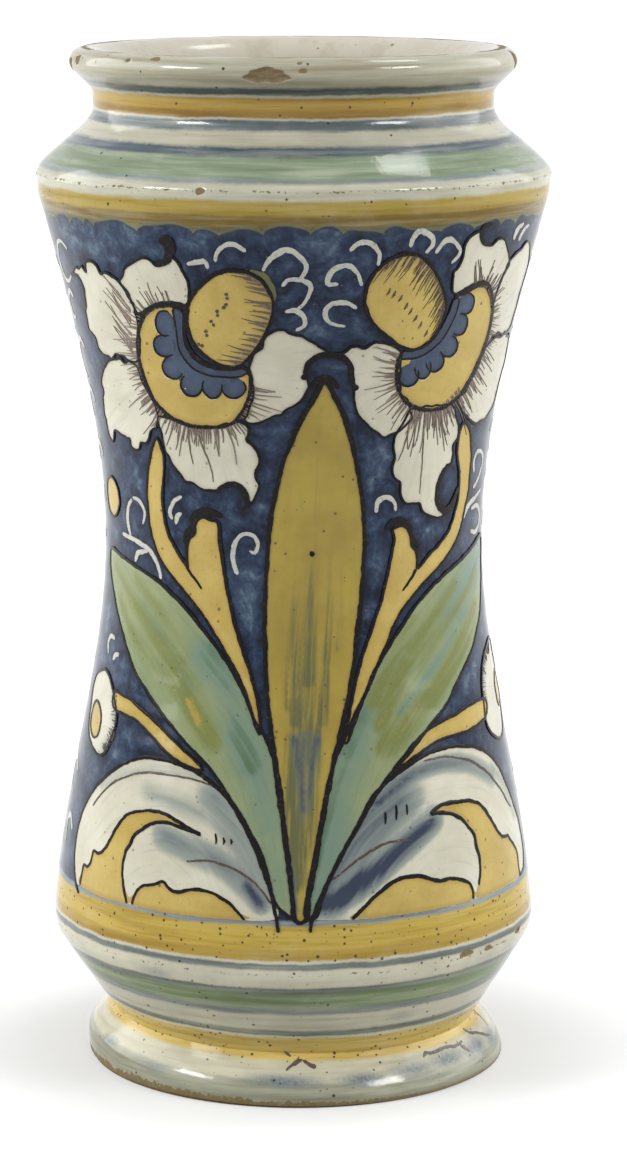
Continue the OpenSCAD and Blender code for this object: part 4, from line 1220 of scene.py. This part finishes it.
# %% Scrolled leaves with their washes, linings, veins and ticks
def paint_scrolled_leaves(on):
    on.scroll.fill(left_scroll, LIFT["scroll"], on.place,
                   spine=[(-5, 52), (-14, 70), (-30, 80), (-50, 76), (-68, 60)], mesh=1.4,
                   washes=[("wash", [(-6, 58), (-10, 66), (-15, 73), (-20, 79)], 6.0, 0.66),
                           ("wash", [(-34, 68.5), (-25, 66), (-16, 62.5), (-9, 57)], 4.8, 0.68),
                           ("wash", [(-11.5, 58.5), (-8, 54.5)], 3.4, 1.0),
                           ("wash", [(-39, 78.5), (-30, 77), (-21, 75)], 4.2, 0.36),
                           ("wash", [(-58, 76.5), (-46, 82), (-34, 84.6), (-22, 84)], 2.2, 0.34)])
    on.scroll.fill(right_scroll, LIFT["scroll"], on.place,
                   spine=[(6, 52), (16, 70), (33, 80), (56, 78), (78, 62)], mesh=1.4,
                   washes=[("wash", [(8, 58), (13, 66), (19, 72), (27, 78)], 9.0, (1.0, 0.85)),
                           ("wash", [(8, 54.5), (14, 57.5), (21, 62), (28, 66.8), (36.5, 72)], 4.6,
                            (1.5, 1.0)),
                           ("wash", [(21, 78), (29, 83), (39, 85), (50, 83.4), (62, 78)], 3.2, (0.95, 0.6)),
                           ("wash", [(62, 80), (70, 73.5), (76, 66)], 2.4, 0.45)])
    on.ink([(-3.6, 47.5)] + left_scroll[:22] + [(-67.6, 48.2)], [0.9, 1.1, 1.0, 0.9, 0.8])
    on.ink([(4.2, 47.5)] + right_scroll[:23], [0.9, 1.1, 1.0, 0.9, 0.8])
    for shape, seen in ((left_fold, left_fold), (left_base, left_base[:12]), (right_fold, right_fold[:23]),
                        (right_base, right_base[:13])):
        on.folds.fill(shape, LIFT["fold"], on.place)
        on.ink(seen, [0.7, 0.9, 0.8])
    # veins of the scrolled leaves
    for route in ([(-62, 71), (-57, 75.5), (-52, 78.8), (-46, 81.5), (-40, 83), (-33, 83.6), (-26, 83.3),
                   (-20, 82.3)],
                  [(-27.3, 63.3), (-22, 64), (-17, 63.2), (-12.5, 61.5), (-8.5, 58.5), (-5, 54)],
                  [(34.5, 86.7), (42, 86.6), (48, 85.2), (54, 82.8), (60, 79.3), (66, 74.8), (71, 70),
                   (73.5, 68.2)], [(9.5, 60.2), (14, 63.5), (19, 66.5), (24, 68.2), (30, 68.2)]):
        on.hatch.line(route, [0.4, 0.6, 0.4], LIFT["hatch"], on.place)
    for s, z, tall in ((-19.5, 69.5, 2.6), (-17.4, 69.1, 1.8), (-15.5, 69.1, 1.4), (23, 74.2, 3.0),
                       (26, 75.2, 3.6), (29, 75.6, 2.6)):
        on.ink([(s, z + tall / 2), (s + 0.25, z), (s + 0.1, z - tall / 2)], [0.5, 0.6, 0.3])


# %% Lance leaf
def paint_lance_leaf(on):
    on.lance.fill(lance_leaf, LIFT["lance"], on.place,
                  spine=[(1.7, 51), (2, 80), (4, 120), (6, 150), (7.5, 182)], mesh=1.1,
                  washes=LANCE_STROKES)
    on.outlined(lance_leaf, 1.25)
    on.lance.line([(-10.5, 210), (-7, 208.8), (-5, 205.4), (-4.8, 202.4)], [0.9, 1.7, 1.2], LIFT["leaf"],
                  on.place, stain=1.0)
    on.dark.dab(4.5, 139.5, 0.7, LIFT["line"], on.place)
    on.ink([(3.4, 180.2), (5.5, 182.7), (7.6, 183.6), (9.5, 182.7), (10.8, 180.6)], [0.9, 1.5, 1.0])
    on.ink([(2.7, 184), (3.4, 186.8), (5.8, 188.8), (9.3, 189.1), (12.2, 188.2), (13.8, 186), (14.2, 183),
            (15, 180.9)], [1.2, 1.4, 1.3, 1.1])
    on.dark.dab(2.7, 183.8, 0.9, LIFT["line"], on.place)
    on.dark.dab(15.1, 180.8, 0.8, LIFT["line"], on.place)


# %% Cups, beads and buds
def paint_cups(on):
    for cup, strip, beads, heart in ((left_cup, left_strip, left_beads, (-18, 196)),
                                     (right_cup, right_strip, right_beads, (30, 200))):
        on.gold.fill(cup, LIFT["cup"], on.place)
        on.blue.fill(strip, LIFT["bead"], on.place)
        on.outlined(strip, 0.5)
        row = np.array([b[:2] for b in beads])
        inward = (np.array(heart) - row) / np.hypot(*(np.array(heart) - row).T)[:, None]
        on.blue.line(row + 1.7 * inward, 5.4, LIFT["pale"] + 0.01, on.place, rough=0.05)
        for s, z, wide, high in beads:
            out = np.array([s - heart[0], z - heart[1]])
            out = 0.55 * out / np.hypot(*out)
            on.petals.fill(oval(s + out[0], z + out[1], wide * 1.03, high * 1.03), LIFT["pale"], on.place)
            on.blue.fill(oval(s, z, wide * 1.05, high * 1.05), LIFT["bead"], on.place)
            facing = math.atan2(out[1], out[0])
            arc = [(s + 1.05 * wide * math.cos(facing + t), z + 1.05 * high * math.sin(facing + t))
                   for t in np.linspace(-2.0, 2.0, 9)]
            on.ink(arc, [0.4, 0.6, 0.4])
    for bud, shaded in ((left_bud, left_bud[1:8]), (right_bud, right_bud[15:] + right_bud[:5])):
        on.gold.fill(bud, LIFT["cup"], on.place, mesh=1.2, washes=[("stain", shaded, 5.0, 0.55)])
        on.outlined(bud, 0.95)
    on.ink([(-25.8, 199.2), (-28.5, 200.9), (-32, 201), (-36, 200), (-39.6, 196.8), (-41.4, 192),
            (-41.4, 186.5), (-40.3, 182), (-38.3, 178), (-35.3, 174.6), (-31, 172), (-26, 170.7),
            (-21, 170.5), (-16.5, 171.2), (-13.6, 173.2), (-11.6, 176.5), (-10.5, 180), (-10.3, 183),
            (-11, 185.4)], [1.6, 1.4, 1.1, 1.0, 1.1])
    on.ink([(-26.3, 200), (-27, 197), (-27.1, 193), (-25.6, 189.3), (-23, 187), (-19.5, 185.9),
            (-15.5, 185.6), (-12.3, 186), (-11, 185.3)], [1.6, 1.3, 1.4, 1.2])
    on.ink([(42.5, 201.8), (45.5, 203), (49.5, 204.3), (53, 204.6), (56.2, 202.6), (58, 198.5),
            (58.2, 194.5), (57.2, 190.5), (55, 186.3), (51.8, 181.8), (48.2, 177.9), (44.5, 175.4),
            (40.5, 174), (36.3, 173.7), (32, 174.5), (28.8, 176.3), (26.6, 179), (25.6, 182.3),
            (25.8, 185.8), (26.8, 188.8)], [1.3, 1.4, 1.1, 1.0, 1.0])


# %% Heavy hooks of the outlines
def paint_hooks(on):
    for route, widths in (([(-70.5, 205), (-66.5, 205.2), (-64, 203.5), (-63, 200), (-63.3, 197)],
                           [0.8, 1.2, 0.8]),
                          ([(-19, 155), (-16, 156.5), (-13, 156), (-11.5, 153.5), (-11, 151.5),
                            (-12.5, 150.3)],
                           [0.9, 1.5, 1.6, 1.0]),
                          ([(-35, 211.4), (-33.5, 211), (-31.8, 211.8), (-30.8, 213.8), (-30.8, 215.6),
                            (-32, 216.6), (-33.8, 216.3)],
                           [1.1, 1.8, 2.9, 2.2]),
                          ([(54.5, 219.4), (52, 219.2), (50.8, 217.8), (51.3, 215.3), (53.5, 214.2)],
                           [0.8, 1.5, 1.2]),
                          ([(43.5, 158.8), (41.2, 157.3), (39.6, 153.5), (40, 149.8), (43, 147.2),
                            (46, 148.8), (48, 152.5)],
                           [0.9, 1.2, 2.2, 2.0, 0.8]),
                          ([(-28.2, 140.5), (-27.8, 143), (-26, 144.8), (-25.8, 147), (-24.3, 148.8),
                            (-21.5, 149), (-19.5, 148.8), (-17.8, 148)],
                           [1.0, 1.4, 2.0, 1.9, 1.2]),
                          ([(-27.8, 135), (-25.5, 132.2), (-23.3, 129.8)], [0.7, 0.5]),
                          ([(32.6, 133.8), (31, 131.5), (28.3, 128.8)], [0.7, 0.5]),
                          ([(23.4, 144.6), (25.4, 146.2), (28, 146.4), (30.2, 144.8), (31.4, 141.6),
                            (33.5, 139)], [1.2, 1.9, 1.4, 0.8])):
        on.ink(route, widths)


# %% Hatching of cups, petals and buds, then the curls of the ground
def paint_hatching(on):
    for cup, low, high, side_of, shapes in ((left_cup, 4, 18, -1, left_petals),
                                            (right_cup, 5, 18, 1, right_petals)):
        on.hatch.fringe(cup[low:high], 58, 4.5, 11.0, LIFT["hatch"], on.place, side=side_of, width=0.4,
                        stain=0.6, on=shapes)
        on.hatch.fringe(cup[low:high], 44, 2.6, 6.0, LIFT["hatch"] + 0.01, on.place, side=side_of,
                        width=0.46, stain=0.3, on=shapes)
    on.hatch.fringe(left_cup[0:5], 22, 4, 9, LIFT["hatch"], on.place, side=-1, lean=0.25, stain=0.6,
                    on=left_petals)
    on.hatch.fringe([(-43.5, 187), (-43.6, 193), (-43.5, 199)], 15, 7, 15, LIFT["hatch"], on.place, side=1,
                    lean=-0.72, width=0.3, stain=0.75)
    on.hatch.fringe(right_cup[0:6], 46, 2.6, 8, LIFT["hatch"], on.place, side=1, width=0.36, stain=0.35,
                    on=right_petals)
    on.hatch.fringe([(46, 178.6), (41, 175.4), (36, 174.2), (31, 175)], 22, 6, 14, LIFT["hatch"], on.place,
                    side=1, width=0.4, stain=0.35)
    for route in ([(34.4, 173), (34.2, 165), (33.8, 158), (33.6, 152.6)],
                  [(-24.6, 170.6), (-22.6, 165), (-20.6, 160), (-20, 156.8)],
                  [(30.6, 173), (28.6, 166), (26.8, 161.6)], [(-27, 170.6), (-26.4, 165), (-25.4, 161)]):
        on.hatch.line(route, [0.5, 0.36, 0.14], LIFT["hatch"], on.place, stain=0.3)
    on.hatch.fringe(left_bud[1:9], 26, 3.6, 7.2, LIFT["hatch"], on.place, aim=(-0.98, 0.18), width=0.6,
                    stain=0.2)
    on.hatch.fringe(right_bud[16:] + right_bud[:6], 54, 3.6, 8.5, LIFT["hatch"], on.place, aim=(-0.6, -0.8),
                    width=0.32)
    for s, z, lean in ((-16.1, 203.6, 0.2), (-16.6, 201.2, -0.7), (-18.5, 199.3, 0.1), (-19.8, 196.8, 0.6),
                       (-21.4, 194.2, 0.2), (-23, 191.2, 1.3)):
        for end in (-0.5, 0.5):
            on.hatch.dab(s - end * math.sin(lean), z + end * math.cos(lean), 0.46, LIFT["hatch"], on.place)
    for s, z in ((23.3, 204.4), (24.6, 203.7), (26.4, 202.6), (28, 200.6), (29.3, 199.2), (30.7, 197.4),
                 (32.1, 195.6), (34, 193.4)):
        on.hatch.line([(s + 0.5, z + 0.9), (s + 0.1, z), (s - 0.6, z - 0.8)], [0.4, 0.7, 0.3],
                      LIFT["hatch"], on.place)
    for route in curls:
        on.curl.line(route, CURL_WIDTHS, LIFT["leaf"], on.place)


# %% Two bouquets, front and back
for bouquet in (Bouquet("front", FRONT, 11), Bouquet("back", BACK, 211)):
    paint_leaves_and_petals(bouquet)
    paint_scrolled_leaves(bouquet)
    paint_lance_leaf(bouquet)
    paint_cups(bouquet)
    paint_hooks(bouquet)
    paint_hatching(bouquet)
    bouquet.petals.finish(petal_white, "white_tin_glaze")
    bouquet.scroll.finish(petal_white, "white_tin_glaze")
    bouquet.green.finish(leaf_green, "green_glaze")
    bouquet.gold.finish(warm_yellow, "yellow_glaze")
    bouquet.folds.finish(warm_yellow, "yellow_glaze")
    bouquet.lance.finish(lance_yellow, "ochre_glaze")
    bouquet.blue.finish(bead_blue, "cobalt_glaze")
    bouquet.curl.finish(curl_cream, "white_tin_glaze")
    bouquet.dark.finish(outline_dark, "blue_line_glaze")
    bouquet.hatch.finish(hatch_brown, "blue_line_glaze")

# %% Rosettes on the two sides
white, gold = Layer("side_rosettes", 401), Layer("side_rosette_hearts", 402)
dark, curl = Layer("side_outlines", 403), Layer("side_cream_curls", 404)
hatch = Layer("side_hatching", 405)
left_rosette = (-62.5, 94, 9.4, 10.4, (-65.4, 91.4),
                [(-53.4, 99.5), (-52.6, 94), (-53.6, 89), (-57.5, 84.4)])
right_rosette = (70.5, 98, 10.6, 12.2, (76.5, 97), [(70, 110), (64.4, 108.4), (60.6, 103), (60, 97)])
small_rosette = (69.6, 96, 8.8, 10.4, (73.5, 95.5), [(69, 106), (64.6, 104.4), (61.6, 100.5), (61.2, 96)])
for place, (s, z, wide, high, heart, rim) in ((FRONT, left_rosette), (FRONT, right_rosette),
                                              (BACK, left_rosette), (BACK, small_rosette)):
    ring = oval(s, z, wide, high, 5, 0.035, 30, 0.6)
    white.fill(ring, LIFT["petal"], place, fan=heart, mesh=1.4, washes=[("wash", rim, 5, 0.42)])
    dark.line(ring, 0.75, LIFT["line"], place, closed=True)
    hatch.fringe(rim, 26, 1.6, 3.2, LIFT["hatch"], place, side=-1 if s < 0 else 1, width=0.4)
    eye = oval(*heart, 3.9, 4.4)
    gold.fill(eye, LIFT["cup"], place)
    dark.line(eye, 0.7, LIFT["line"], place, closed=True)
hatch.finish(hatch_brown, "blue_line_glaze")

# %% Brown scars on the foot
SCAR_LIFT = 0.05
scars = Layer("foot_scars", 406)
for route, widths in (([(-2.4, 12.9), (-1.6, 12.2), (-0.7, 11.8)], [0.5, 1.0, 0.5]),
                      ([(-2.1, 8.8), (-0.9, 9.7), (0.6, 10.6), (2.1, 11)], [0.8, 0.5, 0.9, 0.4]),
                      ([(2.1, 10.9), (3.8, 10.1), (5.4, 9.6)], [0.4, 1.0, 1.8]),
                      ([(0.4, 10.5), (1.4, 11.6)], [0.5, 0.3]),
                      ([(35.2, 9.4), (35.7, 10), (39, 9.8), (44.5, 9.9), (48.6, 9.6), (51.6, 9.8)],
                       [0.9, 0.5, 0.6, 0.3]),
                      ([(50, 9.6), (52.2, 8.6), (54.2, 7.6)], [0.4, 0.6, 0.2]),
                      ([(54, 11.4), (57, 10.4), (60.1, 9.8), (65, 8.6), (70.3, 7.4)],
                       [0.3, 0.6, 0.3, 0.5, 0.2]),
                      ([(65, 14.6), (66.4, 13), (68.6, 11.6), (71.2, 10.4), (72.6, 8.8)],
                       [0.5, 0.9, 0.6, 0.5, 0.2])):
    scars.line(route, widths, SCAR_LIFT, rough=0.6, stain=0.2)
scars.finish(hatch_brown, "biscuit_clay")

# %% A bud and the curls on the sides
bud = oval(-59, 148.5, 4.8, 5)
gold.fill(bud, LIFT["stem"])
dark.line(bud, 0.7, LIFT["line"], closed=True)
for route in side_curls:
    curl.line(route, CURL_WIDTHS, LIFT["leaf"])
white.finish(petal_white, "white_tin_glaze")
gold.finish(warm_yellow, "yellow_glaze")
dark.finish(outline_dark, "blue_line_glaze")
curl.finish(curl_cream, "white_tin_glaze")

# %% [markdown]
# ## Pooled colour round the flowers
# The ground darkens near a painted edge. The distance from each point of the wall to the nearest painted
# edge is measured once, and kept as an attribute that the coat's material reads.

# %% Distance to the nearest painted edge
MEAN_R = 52
ROUND = 2 * MEAN_R * math.pi
SEAM, FAR_GAP = 150, 99.0
marks = []
for path, (turn, flip) in painted_edges:
    angle = wrapped(flip * path[:, 0] / wall_r(path[:, 1]) + turn)
    marks += [(a * MEAN_R, z, 0) for a, z in zip(angle, path[:, 1])]
marks += ([(s + ROUND, z, 0) for s, z, _ in marks if s < -SEAM]
          + [(s - ROUND, z, 0) for s, z, _ in marks if s > SEAM])
nearest = KDTree(len(marks))
for k, mark in enumerate(marks):
    nearest.insert(mark, k)
nearest.balance()
for piece in (collar_coat, wall_coat, base_coat):
    gap = [FAR_GAP] * len(piece.data.vertices)
    if piece is wall_coat:
        bearing = piece.data.attributes["bearing"].data
        spots = [(bearing[v.index].value * MEAN_R, v.co.z * 1000, 0) for v in piece.data.vertices]
        gap = [nearest.find(spot)[2] for spot in spots]
    keep_values(piece.data, {"gap": gap})
print("painted edge marks:", len(marks))

# %% [markdown]
# ## Floor, light and camera
# A pale floor fills the view. It glows less close round the foot, which paints a shadow there. Two large
# soft panels stand at the sides, two smaller windows in front on the left and the right, and a small lamp
# hangs high on the right, a little behind the jar. The room is white to the camera and in the gloss, and dim
# as a light. The camera stands about a metre away and looks down a little.

# %% Floor
FLOOR_REACH = 40


def seen_directly(tree):
    path = put(tree, "ShaderNodeLightPath", {}).outputs
    mirrored = sum_of(tree, "MAXIMUM", path["Is Glossy Ray"], path["Is Transmission Ray"])
    return sum_of(tree, "MAXIMUM", path["Is Camera Ray"], mirrored)


mesh = bpy.data.meshes.new("floor")
corners = [(FLOOR_REACH * x, FLOOR_REACH * y, 0) for x, y in ((-1, -1), (1, -1), (1, 1), (-1, 1))]
mesh.from_pydata(corners, [], [(0, 1, 2, 3)])
floor = bpy.data.objects.new("floor", mesh)
bpy.context.scene.collection.objects.link(floor)
paper, tree, shader = new_material("white_paper")
grain = noise(tree, in_mm(tree), 0.05, 2.0)
tree.links.new(mixed(tree, grain, tint(190, 190, 190), tint(194, 194, 194)), shader.inputs["Base Color"])
shader.inputs["Roughness"].default_value = 0.9
shader.inputs["Emission Color"].default_value = (1, 1, 1, 1)
seen = seen_directly(tree)
spot = put(tree, "ShaderNodeTexCoord", {}).outputs["Object"]
spread = put(tree, "ShaderNodeVectorMath", {0: spot}, operation="LENGTH").outputs["Value"]
# Less glow within about 11 cm of the axis: a painted shadow round the foot. Farther out the glow rises so
# the far floor stays evenly white.
glow_with_painted_shadow = sum_of(tree, "ADD", eased(tree, spread, 0.052, 0.11, 0.32, 0.57),
              eased(tree, spread, 0.5, 2.2, 0.0, 0.4))
tree.links.new(times(tree, seen, glow_with_painted_shadow), shader.inputs["Emission Strength"])
mesh.materials.append(paper)

# %% Lamps and sky
def soft_lamp(name, azimuth, elevation, distance, wide, high, power):
    lamp = bpy.data.lights.new(name, "AREA")
    lamp.shape, lamp.size, lamp.size_y, lamp.energy = "RECTANGLE", wide, high, power
    stand = bpy.data.objects.new(name, lamp)
    a, e = math.radians(azimuth), math.radians(elevation)
    stand.location = (distance * math.sin(a) * math.cos(e), -distance * math.cos(a) * math.cos(e), 0.14
                      + distance * math.sin(e))
    stand.rotation_euler = (math.pi / 2 - e, 0, a)
    bpy.context.scene.collection.objects.link(stand)


soft_lamp("left_panel", -98, 22, 1.2, 1.5, 0.9, 11.8)
soft_lamp("right_panel", 98, 22, 1.2, 1.5, 0.9, 8.8)
soft_lamp("left_window", -62, 30, 1.5, 0.5, 0.26, 9.8)
soft_lamp("right_window", 58, 30, 1.5, 0.5, 0.26, 9.2)
soft_lamp("high_right", 118, 65, 1.3, 0.34, 0.28, 2.6)
print("lamps:", [lamp.name for lamp in bpy.data.lights])
ROOM_LIGHT = 0.25
world = bpy.data.worlds.new("pale_room")
world.use_nodes = True
tree = world.node_tree
tree.nodes["Background"].inputs["Color"].default_value = (1, 1, 1, 1)
strength = sum_of(tree, "MAXIMUM", seen_directly(tree), ROOM_LIGHT)
tree.links.new(strength, tree.nodes["Background"].inputs["Strength"])
bpy.context.scene.world = world

# %% Camera
LOOKING_DOWN = 10.66
lens = bpy.data.cameras.new("camera")
lens.lens, lens.sensor_width, lens.shift_x = 122.4, 36, 0.0174
camera = bpy.data.objects.new("camera", lens)
camera.location = (0, -0.988, 0.311)
camera.rotation_euler = (math.radians(90 - LOOKING_DOWN), 0, 0)
bpy.context.scene.collection.objects.link(camera)
bpy.context.scene.camera = camera
bpy.context.scene.view_settings.view_transform = "Standard"
